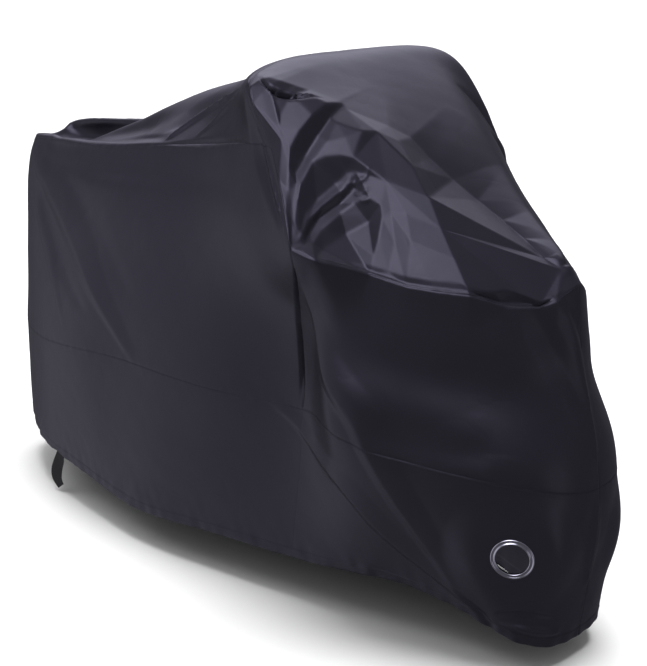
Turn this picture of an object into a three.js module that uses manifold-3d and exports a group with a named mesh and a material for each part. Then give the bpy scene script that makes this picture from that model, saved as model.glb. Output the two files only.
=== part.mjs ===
import * as THREE from 'three';
import { mergeVertices } from 'three/addons/utils/BufferGeometryUtils.js';
import Module from 'manifold-3d';

// A fitted motorcycle cover in the shape that it takes when it is on: ten sewn cloth panels,
// two metal eyelets for a lock in the front skirt, and one webbing strap at the rear hem.
// Millimetres. +X is the front, -Y the near side, +Z up. Heights in the tables are above the ground,
// and the whole cover is then moved so that its origin is where the handlebars carry its crown.

const clothThickness = 2;
const seamGap = 0.5;
const carriedAt = { x: 170, height: 1193 };
const coatedCloth = { color: 0x2b2a33, roughness: 0.45, metalness: 0 };
const polishedMetal = { color: 0xc9ccd2, roughness: 0.16, metalness: 1 };
const blackWebbing = { color: 0x101012, roughness: 0.8, metalness: 0 };

// One row for each section, from the middle of the tail (0) along the side to the middle of the
// nose (12). Each entry is [x, half width, height] where the section crosses one rail:
// hem, band seam, waist, nose seam, shoulder, top and crest, numbered 0 to 6.
const sections = [
  [
    [-960, 0, 160], [-970, 0, 420], [-970, 0, 655], [-975, 0, 820],
    [-975, 0, 920], [-960, 0, 925], [-950, 0, 920],
  ],
  [
    [-935, 140, 150], [-935, 135, 420], [-940, 115, 655], [-955, 105, 820],
    [-950, 80, 920], [-935, 40, 925], [-915, 0, 915],
  ],
  [
    [-810, 225, 130], [-810, 225, 420], [-820, 200, 650], [-830, 160, 815],
    [-830, 105, 930], [-840, 55, 920], [-845, 0, 925],
  ],
  [
    [-615, 290, 115], [-620, 290, 430], [-630, 255, 650], [-640, 195, 825],
    [-650, 130, 935], [-655, 65, 940], [-665, 0, 965],
  ],
  [
    [-395, 315, 105], [-410, 320, 452], [-420, 280, 660], [-425, 225, 835],
    [-435, 155, 945], [-445, 75, 985], [-450, 0, 1025],
  ],
  [
    [-170, 330, 90], [-175, 320, 465], [-185, 290, 670], [-200, 235, 845],
    [-220, 160, 970], [-230, 85, 1040], [-240, 0, 1090],
  ],
  [
    [70, 300, 100], [90, 300, 460], [80, 275, 680], [85, 250, 850],
    [10, 180, 995], [-15, 115, 1100], [-35, 0, 1140],
  ],
  [
    [320, 255, 105], [350, 245, 460], [360, 265, 685], [425, 345, 835],
    [305, 290, 1020], [220, 265, 1150], [170, 0, 1195],
  ],
  [
    [510, 220, 120], [495, 305, 460], [490, 295, 645], [525, 280, 805],
    [405, 265, 975], [315, 215, 1125], [295, 0, 1160],
  ],
  [
    [680, 175, 115], [655, 270, 435], [630, 245, 610], [630, 225, 775],
    [520, 210, 920], [445, 170, 1040], [435, 0, 1075],
  ],
  [
    [825, 145, 75], [815, 190, 415], [770, 170, 590], [745, 160, 765],
    [645, 155, 865], [585, 125, 940], [590, 0, 975],
  ],
  [
    [895, 95, 55], [915, 100, 395], [855, 85, 585], [830, 80, 745],
    [770, 80, 815], [720, 65, 870], [725, 0, 890],
  ],
  [
    [910, 0, 50], [940, 0, 385], [885, 0, 595], [865, 0, 780],
    [835, 0, 815], [825, 0, 825], [810, 0, 835],
  ],
];

// The far side mirrors the near one but for its shoulder and top rails, where the cloth is pulled
// higher. One row for each section: shoulder, then top.
const farShoulderAndTop = [
  [[-975, 0, 920], [-960, 0, 925]],
  [[-965, 60, 945], [-940, 40, 925]],
  [[-860, 70, 965], [-840, 55, 920]],
  [[-680, 90, 975], [-655, 65, 935]],
  [[-455, 130, 980], [-445, 75, 980]],
  [[-225, 155, 995], [-225, 90, 1035]],
  [[15, 185, 1025], [-5, 125, 1105]],
  [[325, 310, 1055], [225, 270, 1185]],
  [[430, 285, 1010], [315, 220, 1175]],
  [[530, 225, 935], [445, 170, 1075]],
  [[645, 155, 865], [585, 125, 960]],
  [[765, 75, 810], [720, 65, 880]],
  [[835, 0, 815], [825, 0, 825]],
];

// Heights of the far hem, which hangs lower behind the front wheel. One for each section.
const farHem = [160, 150, 130, 115, 105, 80, 60, 35, 20, 18, 55, 55, 50];

const lastSection = sections.length - 1;
const shoulderRail = 4;
const noseRail = 3;
const bandRail = 1;
const hemRail = 0;
const crestRail = 6;
const lastRail = 2 * crestRail;
const pinchSection = 7;

// Rails along which the cloth is creased by a taut seam: rail, first and last section.
const tautSeams = [[3, 6.9, 20], [9, 6.9, 20], [4, 2, 6.7]];
const tautFade = 0.4;

// Main folds, each a soft ridge (height above 0) or trough along a path of [section, rail] points.
// Rails above 6 are on the far side.
const folds = [
  { name: 'crease down from the handlebar', height: -10, width: 22, path: [[7, 2.85], [7, 2], [7, 0.9]] },
  {
    name: 'front edge of the hanging curtain', height: 15, width: 42,
    path: [[7.2, 2.55], [7.85, 1.7], [8.35, 1.3], [8.6, 0.95], [9, 0.45], [9.5, 0]],
  },
  {
    name: 'rear edge of the hanging curtain', height: 9, width: 38,
    path: [[6.9, 0.9], [7.6, 0.7], [8.25, 0.5], [8.95, 0]],
  },
  {
    name: 'long ridge from the tail corner', height: 12, width: 46,
    path: [[2.1, 3.3], [3.4, 2.5], [4.25, 1.75], [5.1, 1]],
  },
  { name: 'short ridge beside it', height: 7, width: 40, path: [[2.8, 2.3], [3.45, 1.6], [3.9, 1.1]] },
  { name: 'near edge of the seat', height: 9, width: 26, path: [[0.7, 4], [2, 4], [4, 4], [6.2, 4]] },
  { name: 'far edge of the seat', height: 7, width: 26, path: [[0.9, 8], [2, 8], [3.4, 8]] },
  { name: 'sag of the tail', height: -16, width: 52, path: [[0.9, 5.9], [2, 5.8], [3.2, 5.4], [4.7, 4.9]] },
  { name: 'tension line up to the crown', height: 9, width: 30, path: [[5, 4.1], [5.5, 4.55], [6.5, 5]] },
  {
    name: 'wedge below the crown', height: -9, width: 34,
    path: [[7.25, 5], [7.7, 4.8], [8.2, 4.9], [8.5, 5.15]],
  },
  {
    name: 'trough of the fan', height: -10, width: 34,
    path: [[8.6, 4.9], [8.2, 4.45], [7.7, 4], [7.2, 3.5]],
  },
  {
    name: 'ridge of the fan', height: 8, width: 32,
    path: [[8.95, 4.4], [8.3, 3.85], [7.7, 3.45], [7.15, 3.15]],
  },
  {
    name: 'hollow of the screen', height: -20, width: 64,
    path: [[9.3, 5.4], [9.9, 4.9], [10.4, 4.4], [10.5, 3.3]],
  },
  {
    name: 'ridge of the front corner', height: 8, width: 36,
    path: [[10.8, 2.8], [11.2, 2.4], [11.7, 1.9], [11.9, 1.2]],
  },
  { name: 'far crease', height: -10, width: 40, path: [[7, 9.3], [7, 10], [7, 11]] },
  {
    name: 'far ridge from the tail corner', height: 10, width: 50,
    path: [[2.4, 8.8], [3.8, 9.9], [4.9, 10.9]],
  },
  { name: 'far edge of the curtain', height: 10, width: 44, path: [[7.5, 9.9], [8.3, 10.8], [9.3, 12]] },
];

// Where the surface is sampled: [from, to, steps] along the sections and along the rails.
const sectionSteps = [[0, 7, 30], [7, 9, 13], [9, 9.93, 4], [9.93, 10.57, 2], [10.57, 12, 7]];
const railSteps = [
  [0, 0.35, 3], [0.35, 0.65, 2], [0.65, 1, 3], [1, 2, 4], [2, 3, 4], [3, 4, 5], [4, 5, 4], [5, 6, 3],
  [6, 7, 3], [7, 8, 2], [8, 9, 4], [9, 10, 2], [10, 11, 3],
  [11, 11.35, 2], [11.35, 11.65, 2], [11.65, 12, 2],
];

const eyelet = {
  section: 10.25,
  rail: 0.5,
  holeRadius: 33,
  flangeRadius: 44,
  neckRadius: 38.5,
  neckGap: 0.4,
  flangeHeight: 3.2,
  flatRadius: 75,
  blendRadius: 135,
  punchLength: 60,
  steps: 28,
};

const strap = {
  section: 3.22,
  width: 38,
  thickness: 1.8,
  overlap: 22,
  clearance: 1.8,
  // Hanging part below the hem, from where it leaves it: [forward, outward, down, degrees turned].
  drop: [
    [0, 0, 0, 0], [-9, 1, 20, 14], [-17, 5, 42, 22],
    [-20, 8, 62, 24], [-15, 8, 80, 16], [-5, 4, 97, 10],
  ],
};

const add = (a, b, k = 1) => a.map((value, axis) => value + k * b[axis]);
const dot = (a, b) => a[0] * b[0] + a[1] * b[1] + a[2] * b[2];
const cross = (a, b) => [
  a[1] * b[2] - a[2] * b[1],
  a[2] * b[0] - a[0] * b[2],
  a[0] * b[1] - a[1] * b[0],
];
const distance = (a, b) => Math.hypot(...add(a, b, -1));
const unit = (a) => a.map((value) => value / Math.hypot(...a));
const clamp = (value, low, high) => Math.min(Math.max(value, low), high);
const smooth = (t) => clamp(t, 0, 1) ** 2 * (3 - 2 * clamp(t, 0, 1));

// A natural cubic spline through points that are numbered from first upwards.
function spline(points, first) {
  const count = points.length;
  const bend = points.map(() => [0, 0, 0]);
  const weight = new Array(count).fill(0);
  for (let i = 1; i < count - 1; i++) {
    const pivot = 4 - weight[i - 1];
    weight[i] = 1 / pivot;
    bend[i] = points[i].map((value, axis) => {
      const curl = 6 * (points[i + 1][axis] - 2 * value + points[i - 1][axis]);
      return (curl - bend[i - 1][axis]) / pivot;
    });
  }
  for (let i = count - 2; i > 0; i--) bend[i] = add(bend[i], bend[i + 1], -weight[i]);
  return (place) => {
    const i = clamp(Math.floor(place - first), 0, count - 2);
    const t = place - first - i;
    const r = 1 - t;
    return points[i].map((value, axis) => {
      const curl = (r ** 3 - r) * bend[i][axis] + (t ** 3 - t) * bend[i + 1][axis];
      return r * value + t * points[i + 1][axis] + curl / 6;
    });
  };
}

// The point where a section crosses a rail. Past the tail and the nose the surface runs on round
// to the other side, which keeps it smooth there.
function knot(section, rail) {
  if (section < 0) return knot(-section, lastRail - rail);
  if (section > lastSection) return knot(2 * lastSection - section, lastRail - rail);
  const far = rail > crestRail;
  const level = far ? lastRail - rail : rail;
  const [x, halfWidth, height] = sections[section][level];
  if (!far) return [x, -halfWidth, height];
  if (level >= shoulderRail) return farShoulderAndTop[section][level - shoulderRail];
  return [x, halfWidth, level === hemRail ? farHem[section] : height];
}

const wrap = 3;
const rails = [];
for (let rail = 0; rail <= lastRail; rail++) {
  const points = [];
  for (let section = -wrap; section <= lastSection + wrap; section++) {
    points.push(knot(section, rail));
  }
  rails.push(spline(points, -wrap));
}

// A smooth profile across the rails that runs straight beside each taut seam, so it is creased there.
function creasedProfile(section) {
  const points = rails.map((rail) => rail(section));
  const rounded = spline(points, 0);
  return (rail) => {
    const low = clamp(Math.floor(rail), 0, lastRail - 1);
    const straight = add(points[low], add(points[low + 1], points[low], -1), rail - low);
    let point = rounded(rail);
    for (const [line, first, last] of tautSeams) {
      const within = smooth((section - first) / tautFade) * smooth((last - section) / tautFade);
      const share = within * smooth(2 - 2 * Math.abs(rail - line));
      point = add(point, add(straight, point, -1), share);
    }
    return point;
  };
}

const profiles = new Map();
function baseProfile(section) {
  const key = section.toFixed(6);
  if (!profiles.has(key)) profiles.set(key, creasedProfile(section));
  return profiles.get(key);
}

const basePoint = (section, rail) => baseProfile(section)(rail);

// The outward normal of a surface that is given by a function of section and rail.
function normalOf(surface, section, rail, reach) {
  const tip = Math.abs(rail - crestRail) < reach;
  const place = tip ? clamp(section, 0.1, lastSection - 0.1) : section;
  const along = add(surface(place + reach, rail), surface(place - reach, rail), -1);
  const across = add(surface(place, rail + reach), surface(place, rail - reach), -1);
  return unit(cross(along, across));
}

// Each fold as short straight legs on the surface.
const legsPerStep = 5;
const foldReach = 2.5;
const foldTaper = 0.22;
const foldPaths = folds.map(({ height, width, path }) => {
  const curve = spline(path, 0);
  const points = [];
  for (let k = 0; k <= (path.length - 1) * legsPerStep; k++) {
    points.push(basePoint(...curve(k / legsPerStep)));
  }
  return { height, width, points };
});

// How far the folds lift a point: each is full along its middle and dies away at its ends.
function foldLift(point) {
  let lift = 0;
  for (const { points, height, width } of foldPaths) {
    let share = 0;
    for (let i = 0; i < points.length - 1; i++) {
      const leg = add(points[i + 1], points[i], -1);
      const t = clamp(dot(add(point, points[i], -1), leg) / dot(leg, leg), 0, 1);
      const away = distance(point, add(points[i], leg, t)) / width;
      if (away > foldReach) continue;
      const place = (i + t) / (points.length - 1);
      const taper = smooth(Math.min(place, 1 - place) / foldTaper);
      share = Math.max(share, taper * Math.exp(-1.6 * away * away));
    }
    lift += height * share;
  }
  return lift;
}

function foldedPoint(section, rail) {
  const point = basePoint(section, rail);
  const lift = foldLift(point);
  return Math.abs(lift) < 1e-6 ? point : add(point, normalOf(basePoint, section, rail, 0.01), lift);
}

const eyeletSeats = [eyelet.rail, lastRail - eyelet.rail].map((rail) => ({
  centre: foldedPoint(eyelet.section, rail),
  normal: normalOf(foldedPoint, eyelet.section, rail, 0.25),
}));

// The cloth lies flat around each eyelet.
function clothPoint(section, rail) {
  let point = foldedPoint(section, rail);
  for (const { centre, normal } of eyeletSeats) {
    const away = distance(point, centre);
    if (away > eyelet.blendRadius) continue;
    const outside = (away - eyelet.flatRadius) / (eyelet.blendRadius - eyelet.flatRadius);
    const flatness = 1 - smooth(outside);
    point = add(point, normal, -flatness * dot(add(point, centre, -1), normal));
  }
  return point;
}

const linesIn = (steps, low, high) => {
  const lines = [steps[0][0]];
  for (const [from, to, count] of steps) {
    for (let i = 1; i <= count; i++) lines.push(from + ((to - from) * i) / count);
  }
  return lines.filter((line) => line > low - 1e-6 && line < high + 1e-6);
};

const cover = new THREE.Group();
cover.position.set(-carriedAt.x, 0, -carriedAt.height);

function addMesh(name, geometry, finish) {
  const mesh = new THREE.Mesh(geometry, new THREE.MeshStandardMaterial(finish));
  mesh.name = name;
  cover.add(mesh);
  return mesh;
}

// Millimetres per section and per rail at one place of the cloth.
function speedsAt(section, rail, reach) {
  const along = distance(clothPoint(section + reach, rail), clothPoint(section - reach, rail));
  const across = distance(clothPoint(section, rail + reach), clothPoint(section, rail - reach));
  return [along / (2 * reach), across / (2 * reach)];
}

// A closed sheet over a range of sections and rails. Its edges stop half a seam gap short, and a
// panel that runs round the tail or the nose has its two halves joined there.
function sheetGeometry([fromSection, toSection], [fromRail, toRail], roundEnd) {
  const sectionLines = linesIn(sectionSteps, fromSection, toSection);
  const railLines = linesIn(railSteps, fromRail, toRail);
  const lastAlong = sectionLines.length - 1;
  const lastAcross = railLines.length - 1;
  const openTail = !(roundEnd && fromSection === 0);
  const openNose = !(roundEnd && toSection === lastSection);
  const reach = 0.01;
  const positions = [];
  const outer = [];
  const inner = [];
  for (let i = 0; i <= lastAlong; i++) {
    outer.push([]);
    inner.push([]);
    for (let j = 0; j <= lastAcross; j++) {
      const joined = (i === 0 && !openTail) || (i === lastAlong && !openNose);
      if (joined && j > lastAcross / 2) {
        outer[i][j] = outer[i][lastAcross - j];
        inner[i][j] = inner[i][lastAcross - j];
        continue;
      }
      let section = sectionLines[i];
      let rail = railLines[j];
      const [alongSpeed, acrossSpeed] = speedsAt(section, rail, reach);
      if (i === 0 && openTail) section += seamGap / 2 / alongSpeed;
      if (i === lastAlong && openNose) section -= seamGap / 2 / alongSpeed;
      if (j === 0) rail += seamGap / 2 / acrossSpeed;
      if (j === lastAcross) rail -= seamGap / 2 / acrossSpeed;
      const point = clothPoint(section, rail);
      const normal = normalOf(clothPoint, section, rail, reach);
      outer[i][j] = positions.push(...point) / 3 - 1;
      inner[i][j] = positions.push(...add(point, normal, -clothThickness)) / 3 - 1;
    }
  }
  const triangles = [];
  const quad = (a, b, c, d) => triangles.push(a, b, c, a, c, d);
  for (let i = 0; i < lastAlong; i++) {
    for (let j = 0; j < lastAcross; j++) {
      quad(outer[i][j], outer[i + 1][j], outer[i + 1][j + 1], outer[i][j + 1]);
      quad(inner[i][j], inner[i][j + 1], inner[i + 1][j + 1], inner[i + 1][j]);
    }
    quad(outer[i + 1][0], outer[i][0], inner[i][0], inner[i + 1][0]);
    quad(outer[i + 1][lastAcross], inner[i + 1][lastAcross], inner[i][lastAcross], outer[i][lastAcross]);
  }
  for (let j = 0; j < lastAcross; j++) {
    if (openTail) quad(outer[0][j + 1], inner[0][j + 1], inner[0][j], outer[0][j]);
    if (!openNose) continue;
    quad(outer[lastAlong][j + 1], outer[lastAlong][j], inner[lastAlong][j], inner[lastAlong][j + 1]);
  }
  const geometry = new THREE.BufferGeometry();
  geometry.setAttribute('position', new THREE.Float32BufferAttribute(positions, 3));
  geometry.setIndex(triangles.filter((_, k) => !flat(triangles, k - (k % 3))));
  return geometry;
}

// Triangles that lie on the joined line at the tail or the nose have two equal corners.
function flat(triangles, k) {
  const [a, b, c] = triangles.slice(k, k + 3);
  return a === b || b === c || a === c;
}

const wasm = await Module();
wasm.setup();

function toManifold(geometry) {
  const bare = geometry.clone();
  bare.deleteAttribute('normal');
  bare.deleteAttribute('uv');
  const merged = mergeVertices(bare, 1e-4);
  return new wasm.Manifold(new wasm.Mesh({
    numProp: 3,
    vertProperties: new Float32Array(merged.attributes.position.array),
    triVerts: new Uint32Array(merged.index.array),
  }));
}

function fromManifold(solid) {
  const mesh = solid.getMesh();
  const geometry = new THREE.BufferGeometry();
  geometry.setAttribute('position', new THREE.Float32BufferAttribute(mesh.vertProperties, 3));
  geometry.setIndex([...mesh.triVerts]);
  geometry.computeVertexNormals();
  return geometry;
}

function turnTo(normal) {
  const upright = new THREE.Vector3(0, 1, 0);
  return new THREE.Quaternion().setFromUnitVectors(upright, new THREE.Vector3(...normal));
}

// The front skirt with a round hole punched for its eyelet.
function punchedSkirt(sectionRange, railRange, seat) {
  const { neckRadius, punchLength, steps } = eyelet;
  const punch = new THREE.CylinderGeometry(neckRadius, neckRadius, punchLength, steps);
  punch.applyQuaternion(turnTo(seat.normal));
  punch.translate(...seat.centre);
  const skirt = toManifold(sheetGeometry(sectionRange, railRange, false));
  return fromManifold(skirt.subtract(toManifold(punch)));
}

// A rolled metal ring: a rounded flange on each face of the cloth and a neck between them.
function eyeletGeometry() {
  const inner = eyelet.holeRadius;
  const outer = eyelet.flangeRadius;
  const neck = eyelet.neckRadius - eyelet.neckGap;
  const groove = clothThickness / 2 + eyelet.neckGap;
  const crown = groove + eyelet.flangeHeight;
  const half = [
    [inner, groove], [inner + 1.2, crown - 1], [inner + 4, crown], [outer - 4, crown - 0.3],
    [outer - 0.8, groove + 1.3], [outer, groove], [neck, groove],
  ];
  const mirrored = half.map(([radius, height]) => [radius, -height]).reverse();
  const section = [...mirrored, ...half, mirrored[0]].reverse();
  const profile = section.map(([radius, height]) => new THREE.Vector2(radius, height));
  return new THREE.LatheGeometry(profile, eyelet.steps);
}

function strapGeometry() {
  const leave = clothPoint(strap.section, 0);
  const out = normalOf(clothPoint, strap.section, 0.02, 0.01);
  const forward = unit(cross([0, 0, 1], out));
  const inset = clothThickness + strap.clearance + strap.thickness / 2;
  const railSpeed = distance(leave, clothPoint(strap.section, 0.1)) / 0.1;
  const path = [];
  const turns = [];
  for (const up of [strap.overlap, strap.overlap / 2]) {
    path.push(add(clothPoint(strap.section, up / railSpeed), out, -inset));
    turns.push(0);
  }
  for (const [ahead, away, down, degrees] of strap.drop) {
    const start = add(leave, out, away - inset);
    path.push(add(add(start, forward, ahead), [0, 0, -1], down));
    turns.push((degrees * Math.PI) / 180);
  }
  const positions = [];
  path.forEach((point, i) => {
    const before = path[Math.max(i - 1, 0)];
    const after = path[Math.min(i + 1, path.length - 1)];
    const run = unit(add(after, before, -1));
    const turned = add(forward.map((value) => value * Math.cos(turns[i])), out, -Math.sin(turns[i]));
    const side = unit(add(turned, run, -dot(turned, run)));
    const face = unit(cross(run, side));
    for (const [across, through] of [[-1, -1], [1, -1], [1, 1], [-1, 1]]) {
      const corner = add(point, side, (across * strap.width) / 2);
      positions.push(...add(corner, face, (through * strap.thickness) / 2));
    }
  });
  const triangles = [0, 2, 1, 0, 3, 2];
  const end = (path.length - 1) * 4;
  triangles.push(end, end + 1, end + 2, end, end + 2, end + 3);
  for (let ring = 0; ring < end; ring += 4) {
    for (let k = 0; k < 4; k++) {
      const next = (k + 1) % 4;
      triangles.push(ring + k, ring + next, ring + 4 + next, ring + k, ring + 4 + next, ring + 4 + k);
    }
  }
  const geometry = new THREE.BufferGeometry();
  geometry.setAttribute('position', new THREE.Float32BufferAttribute(positions, 3));
  geometry.setIndex(triangles);
  return geometry;
}

const rearRange = [0, pinchSection];
const frontRange = [pinchSection, lastSection];
const rearTopRails = [shoulderRail, lastRail - shoulderRail];
const frontTopRails = [noseRail, lastRail - noseRail];
addMesh('rear_top', sheetGeometry(rearRange, rearTopRails, true), coatedCloth);
addMesh('front_top', sheetGeometry(frontRange, frontTopRails, true), coatedCloth);

for (const [side, seat] of [['near', eyeletSeats[0]], ['far', eyeletSeats[1]]]) {
  const near = side === 'near';
  const railRange = (low, high) => (near ? [low, high] : [lastRail - high, lastRail - low]);
  const rearSideRails = railRange(bandRail, shoulderRail);
  const frontSideRails = railRange(bandRail, noseRail);
  const skirtRails = railRange(hemRail, bandRail);
  addMesh(`rear_side_${side}`, sheetGeometry(rearRange, rearSideRails, false), coatedCloth);
  addMesh(`front_side_${side}`, sheetGeometry(frontRange, frontSideRails, false), coatedCloth);
  addMesh(`rear_skirt_${side}`, sheetGeometry(rearRange, skirtRails, false), coatedCloth);
  addMesh(`front_skirt_${side}`, punchedSkirt(frontRange, skirtRails, seat), coatedCloth);
  const ring = addMesh(`eyelet_${side}`, eyeletGeometry(), polishedMetal);
  ring.quaternion.copy(turnTo(seat.normal));
  ring.position.set(...add(seat.centre, seat.normal, -clothThickness / 2));
}

addMesh('hem_strap', strapGeometry(), blackWebbing);

export default cover;
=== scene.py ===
"""Looks of a fitted motorcycle cover: satin coated cloth in ten sewn panels, draped as worn, with two
polished lock eyelets in the front skirt and a webbing strap at the rear hem.

The tables are in millimetres above the ground. The frame's origin is inside the crown.
"""

import math

import bpy
import numpy as np
from bpy.props import FloatProperty, IntProperty, PointerProperty
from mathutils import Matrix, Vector
from mathutils.geometry import delaunay_2d_cdt


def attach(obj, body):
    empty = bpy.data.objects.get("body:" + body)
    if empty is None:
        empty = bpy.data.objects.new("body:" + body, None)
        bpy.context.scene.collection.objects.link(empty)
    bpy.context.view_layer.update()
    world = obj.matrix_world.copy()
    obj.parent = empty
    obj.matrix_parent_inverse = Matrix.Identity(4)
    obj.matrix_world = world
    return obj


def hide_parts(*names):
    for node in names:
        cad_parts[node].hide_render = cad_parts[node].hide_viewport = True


bl_info = {
    "name": "Motorcycle Cover",
    "version": (1, 0, 0),
    "blender": (4, 5, 0),
    "location": "3D View > Sidebar > Cover",
    "description": "Makes a draped motorcycle cover of coated cloth around its packed frame",
    "category": "Object",
}

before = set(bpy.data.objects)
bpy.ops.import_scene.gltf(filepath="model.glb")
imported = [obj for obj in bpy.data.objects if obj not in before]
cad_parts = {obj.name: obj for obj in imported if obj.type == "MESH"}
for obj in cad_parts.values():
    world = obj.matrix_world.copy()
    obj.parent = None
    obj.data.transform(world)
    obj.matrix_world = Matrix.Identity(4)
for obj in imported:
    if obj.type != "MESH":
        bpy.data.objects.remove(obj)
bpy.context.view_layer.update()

MM = 0.001
ORIGIN_ABOVE_GROUND = 1193.0
ORIGIN_FORWARD = 170.0
GROUND = -ORIGIN_ABOVE_GROUND * MM

# Sections: one row from the middle of the tail (0) along the side to the middle of the nose (12).
# Each entry is [x, half width, height] where the section crosses one rail: hem, band seam, waist,
# nose seam, shoulder, top and crest, numbered 0 to 6.
SECTIONS = (
    ((-960, 0, 160), (-970, 0, 420), (-970, 0, 655), (-975, 0, 820),
     (-975, 0, 920), (-960, 0, 925), (-950, 0, 920)),
    ((-935, 140, 150), (-935, 135, 420), (-940, 115, 655), (-955, 105, 820),
     (-950, 80, 920), (-935, 40, 925), (-915, 0, 915)),
    ((-810, 225, 130), (-810, 225, 420), (-820, 200, 650), (-830, 160, 815),
     (-830, 105, 930), (-840, 55, 920), (-845, 0, 925)),
    ((-615, 290, 115), (-620, 290, 430), (-630, 255, 650), (-640, 195, 825),
     (-650, 130, 935), (-655, 65, 940), (-665, 0, 965)),
    ((-395, 315, 105), (-410, 320, 452), (-420, 280, 660), (-425, 225, 835),
     (-435, 155, 945), (-445, 75, 985), (-450, 0, 1025)),
    ((-170, 330, 90), (-175, 320, 465), (-185, 290, 670), (-200, 235, 845),
     (-220, 160, 970), (-230, 85, 1040), (-240, 0, 1090)),
    ((70, 300, 100), (90, 300, 460), (80, 275, 680), (85, 250, 850),
     (10, 180, 995), (-15, 115, 1100), (-35, 0, 1140)),
    ((320, 255, 105), (350, 245, 460), (360, 265, 685), (425, 345, 835),
     (305, 290, 1020), (220, 265, 1150), (170, 0, 1195)),
    ((510, 220, 120), (495, 305, 460), (490, 295, 645), (525, 280, 805),
     (405, 265, 975), (315, 215, 1125), (295, 0, 1160)),
    ((680, 175, 115), (655, 270, 435), (630, 245, 610), (630, 225, 775),
     (520, 210, 920), (445, 170, 1040), (435, 0, 1075)),
    ((825, 145, 75), (815, 190, 415), (770, 170, 590), (745, 160, 765),
     (645, 155, 865), (585, 125, 940), (590, 0, 975)),
    ((895, 95, 55), (915, 100, 395), (855, 85, 585), (830, 80, 745),
     (770, 80, 815), (720, 65, 870), (725, 0, 890)),
    ((910, 0, 50), (940, 0, 385), (885, 0, 595), (865, 0, 780),
     (835, 0, 815), (825, 0, 825), (810, 0, 835)),
)
# The far side's own shoulder and top, one row for each section.
FAR_SHOULDER_AND_TOP = (
    ((-975, 0, 920), (-960, 0, 925)),
    ((-965, 60, 945), (-940, 40, 925)),
    ((-860, 70, 965), (-840, 55, 920)),
    ((-680, 90, 975), (-655, 65, 935)),
    ((-455, 130, 980), (-445, 75, 980)),
    ((-225, 155, 995), (-225, 90, 1035)),
    ((15, 185, 1025), (-5, 125, 1105)),
    ((325, 310, 1055), (225, 270, 1185)),
    ((430, 285, 1010), (315, 220, 1175)),
    ((530, 225, 935), (445, 170, 1075)),
    ((645, 155, 865), (585, 125, 960)),
    ((765, 75, 810), (720, 65, 880)),
    ((835, 0, 815), (825, 0, 825)),
)
# Heights of the far hem, which hangs lowest behind the nose.
FAR_HEM = (160, 150, 130, 115, 105, 80, 50, 20, 6, 6, 45, 55, 50)
LAST_SECTION = 12
LAST_RAIL = 12
HEM, BAND, NOSE_SEAM, SHOULDER, CREST = 0, 1, 3, 4, 6
FAR_SHOULDER, FAR_NOSE_SEAM, FAR_BAND = (LAST_RAIL - rail for rail in (SHOULDER, NOSE_SEAM, BAND))
PINCH = 7
WRAP = 3
# Rails along which the cloth is creased by a taut seam: rail, first and last section.
TAUT_SEAMS = ((3, 6.9, 20), (9, 6.9, 20), (4, 2, 6.7))
TAUT_FADE = 0.4

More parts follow.
